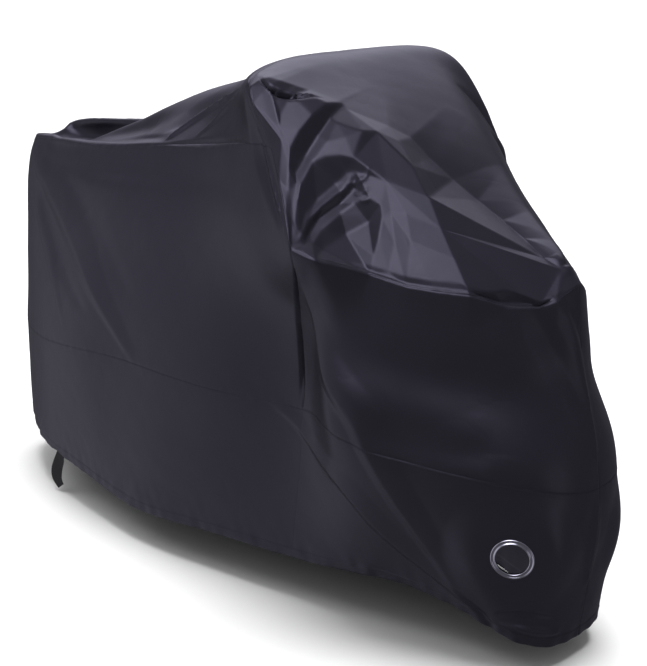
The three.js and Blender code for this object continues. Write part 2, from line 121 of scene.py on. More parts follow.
# Folds, each a ridge (height above 0) or a trough along a path of [section, rail] points. The widths
# are to the left and to the right of the path as seen from outside. Crisp is 0 for a round fold and
# 1 for a pressed crease with flat sides. Start and end are how wide and high the fold is there, as
# shares of its middle. Rails above 6 are on the far side.
# name, height, left width, right width, crisp, start, end, path
FOLDS = (
    ("crease down from the pinch", -9, 7, 7, 1, 0.4, 1,
     ((7, 2.75), (7, 2.5), (6.97, 1.9), (6.96, 1.45), (6.97, 1.05))),
    ("hollow round that crease", -3, 26, 30, 0, 1, 1, ((7, 2.85), (7, 2), (7, 0.9))),
    ("front edge of the hanging curtain", 8, 66, 24, 0.95, 0.5, 0.6,
     ((7.02, 2.65), (7.3, 2.17), (7.66, 1.81), (8.1, 1.48), (8.4, 1.26), (8.53, 1.08), (8.7, 0.8),
      (8.94, 0.51), (9.3, 0.2), (9.6, 0.03))),
    ("rear edge of the hanging curtain", 6, 46, 14, 0.95, 0.5, 0.6,
     ((6.62, 0.97), (6.85, 0.9), (7.36, 0.72), (8, 0.6), (8.44, 0.38), (8.93, 0.2), (9.4, 0.1),
      (9.7, 0.05))),
    ("long ridge from the tail corner", 10, 76, 32, 0.95, 0.45, 0.35,
     ((1.4, 3.6), (2.1, 3.15), (2.85, 2.77), (3.63, 2.27), (4.14, 1.83), (4.75, 1.23), (5.1, 0.98))),
    ("hollow behind the long ridge", -5, 40, 40, 0.2, 1, 0.4,
     ((2.1, 2.95), (2.9, 2.4), (3.6, 1.8), (4.3, 1.3))),
    ("short ridge beside it", 3.5, 34, 14, 0.9, 0.6, 0.5,
     ((2.2, 2.7), (2.6, 2.3), (2.93, 2.02), (3.32, 1.61), (3.7, 1.1))),
    ("dark side of the long ridge", -3, 50, 60, 0.4, 0.5, 0.5,
     ((2.7, 3.4), (3.6, 2.85), (4.4, 2.3), (5.1, 1.55))),
    ("near edge of the seat", 7, 16, 22, 0.2, 0.8, 0.3,
     ((0.2, 4.2), (0.9, 4.2), (1.8, 4.2), (3, 4.2), (4.2, 4.12), (5.2, 4.05))),
    ("groove inside the near edge", -8, 22, 16, 0.5, 0.8, 0.4,
     ((0.7, 4.75), (1.6, 4.75), (2.6, 4.7), (3.6, 4.55), (4.4, 4.35), (5, 4.2))),
    ("far edge of the seat", 8, 26, 20, 0.5, 1, 1, ((0.5, 8), (2, 8), (3.6, 8))),
    ("sag of the tail", -17, 52, 52, 0, 1, 1, ((0.9, 5.9), (2, 5.8), (3.2, 5.4), (4.7, 4.9))),
    ("crease of the shoulder", -5, 8, 14, 1, 0.5, 0.5, ((5, 4.02), (5.6, 4.02), (6.2, 4.03), (6.6, 4.04))),
    ("tension line up to the crown", 11, 14, 16, 0.9, 0.5, 0.6,
     ((4.9, 4.1), (5.15, 4.5), (5.35, 4.78), (5.67, 4.95), (6.4, 5.1))),
    ("hollow above the tension line", -8, 50, 24, 0.5, 0.6, 0.6, ((4.9, 4.5), (5.3, 4.9), (6, 5.4))),
    ("second tension line", 6, 9, 12, 0.9, 0.5, 0.5, ((5.45, 4.1), (5.72, 4.5), (6.01, 4.8), (6.6, 4.95))),
    ("crease of the flare", -9, 34, 26, 0.9, 0.5, 0.3,
     ((6.93, 5), (6.8, 4.6), (6.71, 4.2), (6.7, 3.8), (6.8, 3.4), (6.95, 3.05))),
    ("roll beside the vertical seam", 5, 7, 7, 0.8, 0.6, 0.6,
     ((6.93, 5.3), (6.9, 4.6), (6.87, 3.97), (6.9, 3.5), (6.96, 3.08))),
    ("groove beside that roll", -4, 8, 8, 0.8, 0.6, 0.6,
     ((6.84, 5), (6.78, 4.5), (6.73, 3.95), (6.78, 3.55), (6.9, 3.15))),
    ("pleat under the crown", -13, 7, 9, 0.9, 0.4, 0.4,
     ((7.12, 5.1), (7.4, 4.96), (7.7, 4.88), (8, 4.91), (8.36, 5.08))),
    ("gap above the nose seam", -2.5, 12, 7, 0.8, 0.4, 0.6,
     ((7.1, 3.05), (7.8, 3.05), (8.6, 3.05), (9.4, 3.04), (10.2, 3.05), (11.2, 3.06), (11.9, 3.05))),
    ("depth of that gap under the screen", -9, 13, 8, 0.8, 0.3, 0.3,
     ((9.9, 3.05), (10.6, 3.06), (11.4, 3.05))),
    ("flat band of the front panel", -9, 75, 60, 0, 0.6, 0.6,
     ((7.9, 1.35), (8.4, 1.2), (9, 1.2), (9.6, 1.22), (10.2, 1.25))),
    ("ridge of the front corner", 10, 16, 56, 0.95, 0.5, 0.5,
     ((11.4, 2.96), (11.62, 2.75), (11.87, 2.26), (11.96, 1.83), (11.97, 1.49), (11.96, 1.1))),
    ("hollow left of the front corner", -5, 26, 40, 0.8, 0.5, 0.5,
     ((10.85, 2.97), (10.98, 2.85), (11.22, 2.52), (11.65, 1.98), (11.85, 1.6))),
    ("turned edge of the nose", 5, 20, 20, 0.4, 0.5, 0.5, ((11.95, 0.95), (11.93, 0.6), (11.95, 0.3))),
    ("small fold at the hem", 7, 9, 14, 0.8, 0.4, 0.4,
     ((9.95, 0.06), (10.24, 0.09), (10.66, 0.1), (11.17, 0.09), (11.4, 0.09))),
    ("crease above the hem fold", -4, 8, 8, 0.8, 0.5, 0.5,
     ((9.9, 0.11), (10.23, 0.17), (10.74, 0.2), (11.3, 0.17))),
    ("notch at the hem", -7, 12, 12, 0.9, 0.5, 1, ((9.3, 0.16), (9.56, 0.09), (9.75, 0.04), (9.9, 0))),
    ("far crease", -10, 16, 16, 0.9, 0.5, 1, ((7, 9.2), (7.03, 10), (7, 11))),
    ("far hollow", -12, 44, 44, 0, 1, 1, ((7, 9.2), (7, 10), (7, 11.1))),
    ("far ridge from the tail corner", 11, 44, 80, 0.7, 0.6, 0.4,
     ((2, 8.4), (3.1, 9.3), (4.2, 10.3), (4.9, 11))),
    ("far short ridge", 6, 34, 34, 0.4, 1, 0.5, ((2.6, 9.4), (3.3, 10.1), (3.8, 10.7))),
    ("far edge of the curtain", 13, 46, 60, 0.9, 0.3, 0.5,
     ((7.05, 9.3), (7.6, 10), (8.25, 10.75), (8.8, 11.4), (9.4, 11.97))),
    ("first far fold", -11, 16, 34, 0.9, 0.3, 0.4, ((7.15, 8.6), (7.7, 8.1), (8.2, 7.6), (8.55, 7.1))),
    ("second far fold", -12, 16, 34, 0.9, 0.3, 0.4, ((7.1, 8.8), (7.8, 8.4), (8.5, 7.9), (8.9, 7.6))),
    ("third far fold", -10, 18, 44, 0.9, 0.3, 0.4, ((7.3, 8.93), (8.1, 8.6), (8.7, 8.25), (9.2, 8))),
    ("first crinkle", 2.6, 8, 5, 0.7, 0.5, 0.4, ((8.6, 4.1), (8.82, 4.2), (9.05, 4.4), (9.2, 4.68))),
    ("second crinkle", 2.2, 7, 4, 0.7, 0.5, 0.4, ((8.68, 4.02), (8.88, 4.1), (9.08, 4.27))),
    ("third crinkle", 2, 6, 4, 0.7, 0.5, 0.4, ((8.74, 3.95), (8.9, 4.02), (9.03, 4.13))),
)

# The fan of flat facets between the crown, the pinched corner and the nose seam. Each line joins
# [section, rail, height] points by straight creases, and the cloth between the lines is pulled flat.
# Along the borders, where taut is 0, it keeps its rounded shape.
# name, taut, points
FAN = (
    ("vertical seam", 1, (
        (7, 5.16, 0), (7, 4.86, 0), (7, 4.56, 0), (7, 4.3, 0), (7, 4.06, 0), (7, 3.87, 0), (7, 3.69, 0),
        (7, 3.52, 0), (7, 3.35, 0), (7, 3.17, 0), (7, 3, 0),
    )),
    ("border along the rear top", 0, ((7, 6, 0), (7, 5.6, 0), (7, 5.16, 0))),
    ("border below the pinch", 0, ((7, 3, 0), (7, 2.8, 0))),
    ("border across the crown", 0, ((7, 6, 0), (7.6, 5.8, 0), (8.3, 6.1, 0), (9, 6.6, 0), (9.9, 7.2, 0))),
    ("border beyond the screen", 0, (
        (9.9, 7.2, 0), (10.8, 7.3, 0), (11.5, 7.2, 0), (12, 6.6, 0), (12, 5, 0), (12, 4, 0), (12, 3, 0),
        (12, 2.5, 0),
    )),
    ("border below the nose seam", 0, (
        (7, 2.8, 0), (7.6, 2.65, 0), (8.3, 2.55, 0), (9, 2.5, 0), (9.8, 2.5, 0), (10.6, 2.5, 0),
        (11.3, 2.5, 0), (12, 2.5, 0),
    )),
    ("nose seam", 1, (
        (7, 3, 0), (7.36, 3, -12), (8.36, 3, 0), (8.97, 3, 2), (9.37, 3, 1), (9.9, 3, 2), (10.5, 3, -2),
        (11, 3, -2), (11.4, 3, 0), (12, 3, 0),
    )),
    ("crest of the pleat below the crown", 1, (
        (7, 5.16, 0), (7.38, 5.08, 1), (7.61, 5.06, 2), (7.86, 5.06, 3), (8.08, 5.09, 4), (8.36, 5.18, 5),
    )),
    ("trough of that pleat", 1, (
        (7, 5.16, 0), (7.22, 5.05, -2), (7.49, 4.95, -4), (7.73, 4.88, -4), (7.9, 4.9, 2),
        (8.13, 4.98, 12), (8.36, 5.18, 5),
    )),
    ("line between the first facets", 1, (
        (7.73, 4.88, -4), (7.75, 4.6, -14), (7.65, 4.42, -15), (7.25, 4.13, -11), (7, 3.69, 0),
    )),
    ("first crest", 1, (
        (8.49, 5.23, 6), (8.42, 5, 16), (8.27, 4.74, 12), (8.02, 4.46, 5), (7.67, 4.17, -7),
        (7.24, 3.85, -10), (7.09, 3.6, -9), (7, 3.35, 0),
    )),
    ("first trough", 1, (
        (8.55, 5.24, 5), (8.53, 4.93, 0), (8.36, 4.57, -5), (8.04, 4.23, -12), (7.58, 3.93, -22),
        (7.32, 3.74, -20), (7.08, 3.45, -12), (7, 3, 0),
    )),
    ("right edge of the first band", 1, (
        (8.64, 5.2, 6), (8.65, 4.9, 6), (8.51, 4.54, 4), (8.12, 4.17, -2), (7.62, 3.82, -16),
        (7.29, 3.56, -16), (7.08, 3.3, -12), (7, 3, 0),
    )),
    ("second crest", 1, (
        (8.12, 4.17, -2), (8.41, 4.33, 3), (8.7, 4.48, 5), (8.93, 4.58, 6), (9.12, 5.18, 20),
    )),
    ("middle of the patch", 1, ((8.51, 4.54, 4), (8.81, 4.78, 9), (8.99, 5.02, 18), (9.12, 5.18, 20))),
    ("second trough", 1, (
        (8.93, 4.58, 6), (8.72, 4.28, -6), (8.43, 4.05, -14), (7.93, 3.75, -22), (7.45, 3.49, -26),
        (7.12, 3.24, -18), (7, 3, 0),
    )),
    ("third crest", 1, (
        (8.93, 4.58, 6), (8.9, 4.38, -3), (8.71, 4.18, -6), (8.46, 3.97, -9), (8.02, 3.7, -12),
        (7.53, 3.43, -24), (7.16, 3.19, -18), (7, 3, 0),
    )),
    ("third trough", 1, (
        (8.9, 4.38, -3), (8.75, 4.12, -12), (8.36, 3.84, -20), (7.85, 3.54, -28), (7.41, 3.3, -33),
        (7.13, 3.11, -22), (7, 3, 0),
    )),
    ("fourth crest", 1, (
        (9.14, 4.06, -1), (8.98, 4.08, -2), (8.78, 3.99, -6), (8.62, 3.9, -10), (8.27, 3.68, -14),
        (7.81, 3.4, -22), (7.43, 3.19, -26), (7.15, 3.05, -14), (7, 3, 0),
    )),
    ("fourth trough", 1, (
        (9.14, 4.06, -1), (8.73, 3.72, -17), (8.23, 3.44, -20), (7.7, 3.19, -28), (7.36, 3, -12),
    )),
    ("upright crease of the cheek", 1, (
        (9.14, 4.06, -1), (9.04, 3.86, -4), (8.83, 3.55, 0), (8.58, 3.26, 0), (8.36, 3, 0),
    )),
    ("left edge of the bright streak", 1, (
        (9.42, 4.6, 4), (9.28, 4.02, -2), (9.08, 3.55, -3), (8.75, 3.12, -1), (8.36, 3, 0),
    )),
    ("right edge of the bright streak", 1, (
        (9.42, 4.6, 4), (9.58, 4.14, 4), (9.38, 3.65, 4), (8.97, 3, 2),
    )),
    ("near edge of the screen hollow", 1, (
        (9.07, 5.52, 2), (9.33, 5.38, 12), (9.67, 5.17, 18), (10.04, 4.83, 18), (10.09, 4.17, 12),
        (9.99, 3.6, 8), (9.9, 3, 2),
    )),
    ("bottom of the screen hollow", 1, (
        (9.07, 5.52, 2), (9.27, 5.72, -8), (9.57, 5.77, -22), (9.91, 5.86, -34), (10.3, 5.95, -38),
        (10.74, 6, -34), (11.18, 5.9, -24), (11.6, 5.2, -14), (11.8, 4, -6), (12, 3, 0),
    )),
)
# Sections and rails between which the fan lies. Its creases are softened by the mean of a few samples
# on a small circle round each point, with the radius in millimetres.
FAN_SECTIONS = (6.9, 12)
FAN_RAILS = (2.4, 7.4)
FAN_BLUR = 2.2
FAN_SAMPLES = 6
# Corners of facets that are nearer than this, in sections or rails, are the same corner.
SAME_CORNER = 1e-6

# Sections of the panels behind the pinched corner and before it.
REAR = (0, PINCH)
FRONT = (PINCH, LAST_SECTION)
# Panels of cloth. An edge lies "over" its neighbour, runs on "under" it, meets it "flush" or "inset"
# in a plain seam, is a folded "hem", or the panel runs "round" to the other side. The edges are: tail
# end, nose end, lower rail, upper rail.
# node, sections, rails, pitch on the near side and on the far side, edges
PANELS = {
    "rear_top": (REAR, (SHOULDER, FAR_SHOULDER), 5.2, 5.2, ("round", "over", "under", "under")),
    "front_top": (FRONT, (NOSE_SEAM, FAR_NOSE_SEAM), 3.6, 7.2, ("under", "round", "over", "over")),
    "rear_side_near": (REAR, (BAND, SHOULDER), 5.6, 5.6, ("over", "over", "under", "over")),
    "front_side_near": (FRONT, (BAND, NOSE_SEAM), 4.5, 4.5, ("under", "over", "under", "under")),
    "rear_skirt_near": (REAR, (HEM, BAND), 5.6, 5.6, ("over", "flush", "hem", "over")),
    "front_skirt_near": (FRONT, (HEM, BAND), 4.5, 4.5, ("inset", "over", "hem", "over")),
    "rear_side_far": (REAR, (FAR_SHOULDER, FAR_BAND), 8.0, 8.0, ("under", "over", "over", "under")),
    "front_side_far": (FRONT, (FAR_NOSE_SEAM, FAR_BAND), 7.0, 7.0, ("under", "under", "under", "under")),
    "rear_skirt_far": (REAR, (FAR_BAND, LAST_RAIL), 8.0, 8.0, ("under", "flush", "over", "hem")),
    "front_skirt_far": (FRONT, (FAR_BAND, LAST_RAIL), 7.0, 7.0, ("inset", "under", "over", "hem")),
}
# How far from an edge its closest lines run, in millimetres. Below 0 is under the neighbour.
EDGE_LINES = {
    "over": (0, 1, 2.6, 5, 8.5),
    "under": (-6, -1.5, 0.5, 2.2, 4.5, 8),
    "flush": (0, 4, 8),
    "inset": (-6, -1, 4, 8),
    "hem": (0, 1.2, 9, 18, 21, 22.6, 25),
    "round": (),
}
EDGE_MARGIN = 3.0
INSET_DEPTH = 0.3
HEM_WIDTH = 22.0
# Least millimetres per section or rail that an offset is worked out with.
SLOWEST = 30.0
# Nearer to the crest than this, in rails, a normal is read this far inside its tips, in sections.
TIP_REACH = 0.02
TIP_STEP = 0.1

# Across a fold, from its line at 0: how fast a round one falls off, how far it and a pressed one
# reach, and how soft the pressed one's top and foot are.
ROUND_FALL = 1.6
ROUND_REACH = 2.4
PRESSED_REACH = 1.6
TOP_SOFTNESS = 0.004
TOP_DROP = 0.063
FOOT_SOFTNESS = 0.006
FOOT_DROP = 0.0045
# Along a fold: legs from one point of its path to the next, and the shares of its length over which
# it rises from its start and falls to its end.
FOLD_STEPS = 6
START_TAPER = 0.12
END_TAPER = 0.16

# Relief at the seams, in millimetres from the edge.
LIP_REACH = 5.0
ROLL_REACH = 2.2
SEAM_REACH = 13.0
LAP_START = 5.0
LAP_RUN = 7.0
INSET_START = 3.0
INSET_RUN = 4.0
HEM_STEP_START = HEM_WIDTH + 1
HEM_STEP_RUN = 2.0
HEM_ROLL = 0.5
HEM_ROLL_REACH = 1.2
HEM_SEAM_REACH = 3.0
GATHER_REACH = 34.0
# Waves of the cloth: how many are added up, and the shortest and longest in millimetres.
WAVE_COUNT = 14
GATHER_WAVES = (30, 75)
PUCKER_WAVES = (15, 40)
BROAD_WAVES = (170, 420)
FINE_WAVES = (50, 130)
FINE_SHARE = 0.16
SEEDS = {"broad": 5, "pucker": 7, "fine": 9, "gather": 11}

# Steps of the meshes: the fewest between two rails or sections, and the samples that a step's mean length
# is read from.
FEWEST_STEPS = 3
SPAN_SAMPLES = 9
# Edges of the meshes stay sharp from these angles on, in degrees.
CLOTH_SHARP, METAL_SHARP, WEBBING_SHARP = 55, 60, 50

EYELET_NODES = ("eyelet_near", "eyelet_far")
CLOTH_HOLE = 38.6
HOLE_DEPTH = 40.0
FLAT_ROUND_EYELET = 58.0
BLEND_ROUND_EYELET = 150.0
# Section of the rolled ring: [radius, height] from the cloth's middle, once round.
RING_SECTION = (
    (33, 0), (33, 2.1), (33.4, 3.2), (34.2, 4), (35, 4), (35.9, 3.2), (36.8, 2), (38.9, 1.8),
    (40.2, 2.3), (41.4, 3.4), (42.6, 3.3), (43.5, 2.5), (44, 1.5), (43.8, 1.08), (38.1, 1.08),
    (38.1, -0.35), (43.8, -0.35), (44, -0.8), (43.4, -1.8), (42, -2.6), (39.5, -3), (36, -3),
    (34.2, -2.6), (33.3, -1.6),
)

STRAP_SECTION = 3.22
STRAP_OVERLAP = 22.0
STRAP_CLEARANCE = 1.8
SOLID_CLOTH = 2.0
# How far above the hem, in rails, the cloth's upward direction is read.
STRAP_RAIL_STEP = 0.02
STRAP_STEPS = 12
STRAP_CORNER_STEPS = 7
STRAP_FLAT_STEPS = 12
STRAP_CURL = 0.5
STRAP_CURL_TURN = 5.0
# Hanging part below the hem: [forward, outward, down, degrees turned].
STRAP_DROP = (
    (0, 0, 0, 0), (-9, 1, 20, 14), (-17, 5, 42, 22), (-20, 8, 62, 24), (-15, 8, 80, 16), (-5, 4, 97, 10),
)

# Stitch rows: millimetres from an edge, and the panels and edges that they run along.
STITCH_ROWS = {
    3.4: (
        ("rear_side_near", "upper"), ("rear_side_far", "lower"),
        ("rear_skirt_near", "upper"), ("rear_skirt_far", "lower"),
        ("front_skirt_near", "upper"), ("front_skirt_far", "lower"),
        ("front_top", "lower"), ("front_top", "upper"), ("rear_top", "nose"),
        ("rear_side_near", "nose"), ("rear_side_far", "nose"),
        ("front_side_near", "nose"), ("front_skirt_near", "nose"),
        ("rear_side_near", "tail"), ("rear_skirt_near", "tail"),
    ),
    19.5: (
        ("rear_skirt_near", "lower"), ("rear_skirt_far", "upper"),
        ("front_skirt_near", "lower"), ("front_skirt_far", "upper"),
    ),
}
EDGES = ("tail", "nose", "lower", "upper")
# Points for each section or rail of a row, how far short of its ends a row stops, and its height.
STITCH_STEPS = 60
STITCH_END = 0.02
STITCH_LIFT = 0.12
# Shortest and longest stitch, as shares of the length.
STITCH_UNEVEN = (0.88, 1.06)

# The camera that the photo's outline fits: metres from the cover's middle, and degrees.
CAMERA_PLACE = (2.134, -1.906, 1.315)
CAMERA_HEADING = 136.0
CAMERA_DOWN = 15.7
CAMERA_LENS = 64.86


def spline_rows(count, first, places, slope=False):
    """Weights that turn values at whole numbers from first on into a natural cubic spline at places."""
    inner = 4 * np.eye(count - 2) + np.eye(count - 2, k=1) + np.eye(count - 2, k=-1)
    second = np.eye(count)[2:] - 2 * np.eye(count)[1:-1] + np.eye(count)[:-2]
    bend = np.zeros((count, count))
    bend[1:-1] = np.linalg.solve(inner, 6 * second)
    places = np.asarray(places, float)
    low = np.clip(np.floor(places - first).astype(int), 0, count - 2)
    t = (places - first - low)[:, None]
    r = 1 - t
    unit_rows = np.eye(count)
    if slope:
        curl = (1 - 3 * r**2) * bend[low] + (3 * t**2 - 1) * bend[low + 1]
        return unit_rows[low + 1] - unit_rows[low] + curl / 6
    curl = (r**3 - r) * bend[low] + (t**3 - t) * bend[low + 1]
    return r * unit_rows[low] + t * unit_rows[low + 1] + curl / 6


def straight_rows(count, places, slope=False):
    """Weights that run straight from each whole number to the next."""
    low = np.clip(np.floor(places).astype(int), 0, count - 2)
    unit_rows = np.eye(count)
    if slope:
        return unit_rows[low + 1] - unit_rows[low]
    t = (places - low)[:, None]
    return (1 - t) * unit_rows[low] + t * unit_rows[low + 1]


def creased_rows(sections, rails, slope=False):
    """Spline weights across the rails, with a crease along each seam that is pulled taut."""
    count = LAST_RAIL + 1
    rows = spline_rows(count, 0, rails, slope)
    straight = straight_rows(count, rails, slope)
    for line, first, last in TAUT_SEAMS:
        share = smooth((sections - first) / TAUT_FADE) * smooth((last - sections) / TAUT_FADE)
        share = share * smooth(2 - 2 * np.abs(rails - line))
        rows += share[:, None] * (straight - rows)
    return rows


def knot(section, rail):
    """The table's point in millimetres. Past the tail and the nose the surface runs on round."""
    if section < 0:
        return knot(-section, LAST_RAIL - rail)
    if section > LAST_SECTION:
        return knot(2 * LAST_SECTION - section, LAST_RAIL - rail)
    far = rail > CREST
    level = LAST_RAIL - rail if far else rail
    x, half_width, height = SECTIONS[section][level]
    if not far:
        return x, -half_width, height
    if level >= SHOULDER:
        return FAR_SHOULDER_AND_TOP[section][level - SHOULDER]
    return x, half_width, FAR_HEM[section] if level == HEM else height


KNOTS = np.array(
    [[knot(s, rail) for rail in range(LAST_RAIL + 1)] for s in range(-WRAP, LAST_SECTION + WRAP + 1)], float
)
KNOTS -= (ORIGIN_FORWARD, 0, ORIGIN_ABOVE_GROUND)


def unit(vectors):
    length = np.linalg.norm(vectors, axis=-1, keepdims=True)
    return vectors / np.maximum(length, 1e-9)


def smooth(t):
    t = np.clip(t, 0, 1)
    return t * t * (3 - 2 * t)


def base_surface(sections, rails):
    """Points, outward normals and millimetres per section and per rail, for lists of equal length."""
    sections = np.asarray(sections, float)
    rails = np.asarray(rails, float)
    count = LAST_SECTION + 2 * WRAP + 1
    across_rows = creased_rows(sections, rails)
    across_slopes = creased_rows(sections, rails, slope=True)

    def mix(along, across):
        return np.einsum("na,nb,abc->nc", along, across, KNOTS, optimize=True)

    points = mix(spline_rows(count, -WRAP, sections), across_rows)
    # The tip of the crest has no slope of its own, so its normal is read a little inside.
    at_tip = np.abs(rails - CREST) < TIP_REACH
    inside = np.where(at_tip, np.clip(sections, TIP_STEP, LAST_SECTION - TIP_STEP), sections)
    along = mix(spline_rows(count, -WRAP, inside, slope=True), across_rows)
    across = mix(spline_rows(count, -WRAP, inside), across_slopes)
    normals = unit(np.cross(along, across))
    return points, normals, np.linalg.norm(along, axis=1), np.linalg.norm(across, axis=1)


def fold_curve(path):
    """A fold's path as points on the surface, with smooth bends."""
    path = np.array(path, float)
    places = np.linspace(0, len(path) - 1, (len(path) - 1) * FOLD_STEPS + 1)
    path = spline_rows(len(path), 0, places) @ path
    return base_surface(path[:, 0], path[:, 1])[0]


def fold_profile(u, crisp):
    """Height across a fold, from 1 on its line to 0 at its edge: round, or with flat sides."""
    rounded = np.exp(-ROUND_FALL * u * u) * (u < ROUND_REACH)
    slope = 1 - (np.sqrt(u * u + TOP_SOFTNESS) - TOP_DROP)
    foot = (slope + np.sqrt(slope * slope + FOOT_SOFTNESS)) / 2 - FOOT_DROP
    pressed = np.where(u < PRESSED_REACH, foot, 0)
    return (1 - crisp) * rounded + crisp * np.maximum(pressed, 0)


def fold_lift(points, normals):
    """How far all folds lift each point along its normal, in millimetres."""
    lift = np.zeros(len(points))
    for _name, height, left, right, crisp, start, end, path in FOLDS:
        curve = fold_curve(path)
        reach = ROUND_REACH * max(left, right)
        near = ((points > curve.min(0) - reach) & (points < curve.max(0) + reach)).all(1)
        if not near.any():
            continue
        here, outward = points[near], normals[near]
        share = np.zeros(len(here))
        legs = len(curve) - 1
        for i in range(legs):
            leg = curve[i + 1] - curve[i]
            t = np.clip((here - curve[i]) @ leg / (leg @ leg), 0, 1)
            offset = here - curve[i] - t[:, None] * leg
            is_left = np.einsum("ij,ij->i", np.cross(leg, offset), outward) > 0
            place = (i + t) / legs
            opening = start + (1 - start) * smooth(place * 2)
            closing = end + (1 - end) * smooth((1 - place) * 2)
            spread = opening * closing
            u = np.linalg.norm(offset, axis=1) / (np.where(is_left, left, right) * spread)
            taper = smooth(place / START_TAPER) * smooth((1 - place) / END_TAPER) * spread
            share = np.maximum(share, taper * fold_profile(u, crisp))
        lift[near] += height * share
    return lift


def fan_triangles():
    """The fan's facets: corners in [section, rail], the same corners in space and how taut each is."""
    corners, heights, tautness, edges = [], [], [], []
    numbers = {}
    for _name, taut, line in FAN:
        row = []
        for section, rail, height in line:
            if (section, rail) not in numbers:
                numbers[section, rail] = len(corners)
                corners.append(Vector((section, rail)))
                heights.append(height)
                tautness.append(taut)
            row.append(numbers[section, rail])
        edges += list(zip(row[:-1], row[1:]))
    made, _, faces, sources, _, _ = delaunay_2d_cdt(corners, edges, [], 0, SAME_CORNER)
    if len(made) != len(corners):
        crossed = [tuple(made[i]) for i, from_ in enumerate(sources) if not from_]
        raise ValueError(f"lines of the fan cross or meet near {crossed}")
    order = [from_[0] for from_ in sources]
    places = np.array(made)
    points, normals, _, _ = base_surface(places[:, 0], places[:, 1])
    points = points + np.array(heights, float)[order][:, None] * normals
    taut = np.array(tautness, float)[order]
    return [(places[face], points[face], taut[face]) for face in map(list, faces) if taut[face].any()]


FAN_TRIANGLES = fan_triangles()


def pull_flat(sections, rails, points, along, across):
    """Moves the points inside the fan onto its flat facets, softened a little at their creases."""
    inside = (sections > FAN_SECTIONS[0]) & (sections <= FAN_SECTIONS[1])
    inside &= (rails > FAN_RAILS[0]) & (rails < FAN_RAILS[1])
    if not inside.any():
        return points
    turns = np.arange(FAN_SAMPLES) * 2 * math.pi / FAN_SAMPLES
    shifts = [(0, 0)] + [(math.cos(turn), math.sin(turn)) for turn in turns]
    facet = np.zeros((inside.sum(), 3))
    taut = np.zeros(inside.sum())
    hits = np.zeros(inside.sum())
    for shift_s, shift_r in shifts:
        s = sections[inside] + FAN_BLUR * shift_s / along[inside]
        r = rails[inside] + FAN_BLUR * shift_r / across[inside]
        for corners, places, tautness in FAN_TRIANGLES:
            low, high = corners.min(0), corners.max(0)
            near = np.flatnonzero((s >= low[0]) & (s < high[0]) & (r >= low[1]) & (r < high[1]))
            frame_of = np.linalg.inv(np.stack([corners[1] - corners[0], corners[2] - corners[0]], 1))
            shares = (np.stack([s[near], r[near]], 1) - corners[0]) @ frame_of.T
            hit = (shares >= 0).all(1) & (shares.sum(1) < 1)
            weights = np.concatenate([1 - shares[hit].sum(1, keepdims=True), shares[hit]], 1)
            facet[near[hit]] += weights @ places
            taut[near[hit]] += weights @ tautness
            hits[near[hit]] += 1
    facet /= np.maximum(hits, 1)[:, None]
    taut /= len(shifts)
    moved = points.copy()
    moved[inside] += taut[:, None] * (facet - points[inside])
    return moved


def swell(points, lengths, height, seed):
    """Soft unevenness of the cloth: a few seeded waves with lengths between two limits."""
    rng = np.random.default_rng(seed)
    total = np.zeros(len(points))
    for _ in range(WAVE_COUNT):
        direction = unit(rng.normal(size=3))
        length = rng.uniform(*lengths)
        phase = rng.uniform(0, 2 * math.pi)
        total += np.sin(points @ direction * 2 * math.pi / length + phase)
    return total * height / math.sqrt(WAVE_COUNT)


def eyelet_seat(node):
    """Centre and outward axis of a packed eyelet, in millimetres, from its own vertices."""
    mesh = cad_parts[node].data
    points = np.array([vertex.co for vertex in mesh.vertices], float) / MM
    centre = (points.min(0) + points.max(0)) / 2
    _, axes = np.linalg.eigh(np.cov((points - centre).T))
    axis = axes[:, 0]
    outward = np.array((1.0, np.sign(centre[1]), 0.0))
    return centre, axis if axis @ outward > 0 else -axis


SEATS = {node: eyelet_seat(node) for node in EYELET_NODES}


def flatten_at_eyelets(points):
    """Pulls the cloth flat round each eyelet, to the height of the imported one's face."""
    for centre, axis in SEATS.values():
        face = centre + axis
        away = np.linalg.norm(points - face, axis=1)
        flat = 1 - smooth((away - FLAT_ROUND_EYELET) / (BLEND_ROUND_EYELET - FLAT_ROUND_EYELET))
        height = (points - face) @ axis
        points = points - (flat * height)[:, None] * axis
    return points


def edge_distances(node, sections, rails, along, across):
    """Millimetres from each point to the panel's tail end, nose end, lower rail and upper rail."""
    (first, last), (low, high) = PANELS[node][:2]
    return (
        (sections - first) * along, (last - sections) * along,
        (rails - low) * across, (high - rails) * across,
    )


def bell(away, width):
    """1 where away is 0, and softly down to 0 on both sides."""
    return np.exp(-((away / width) ** 2))


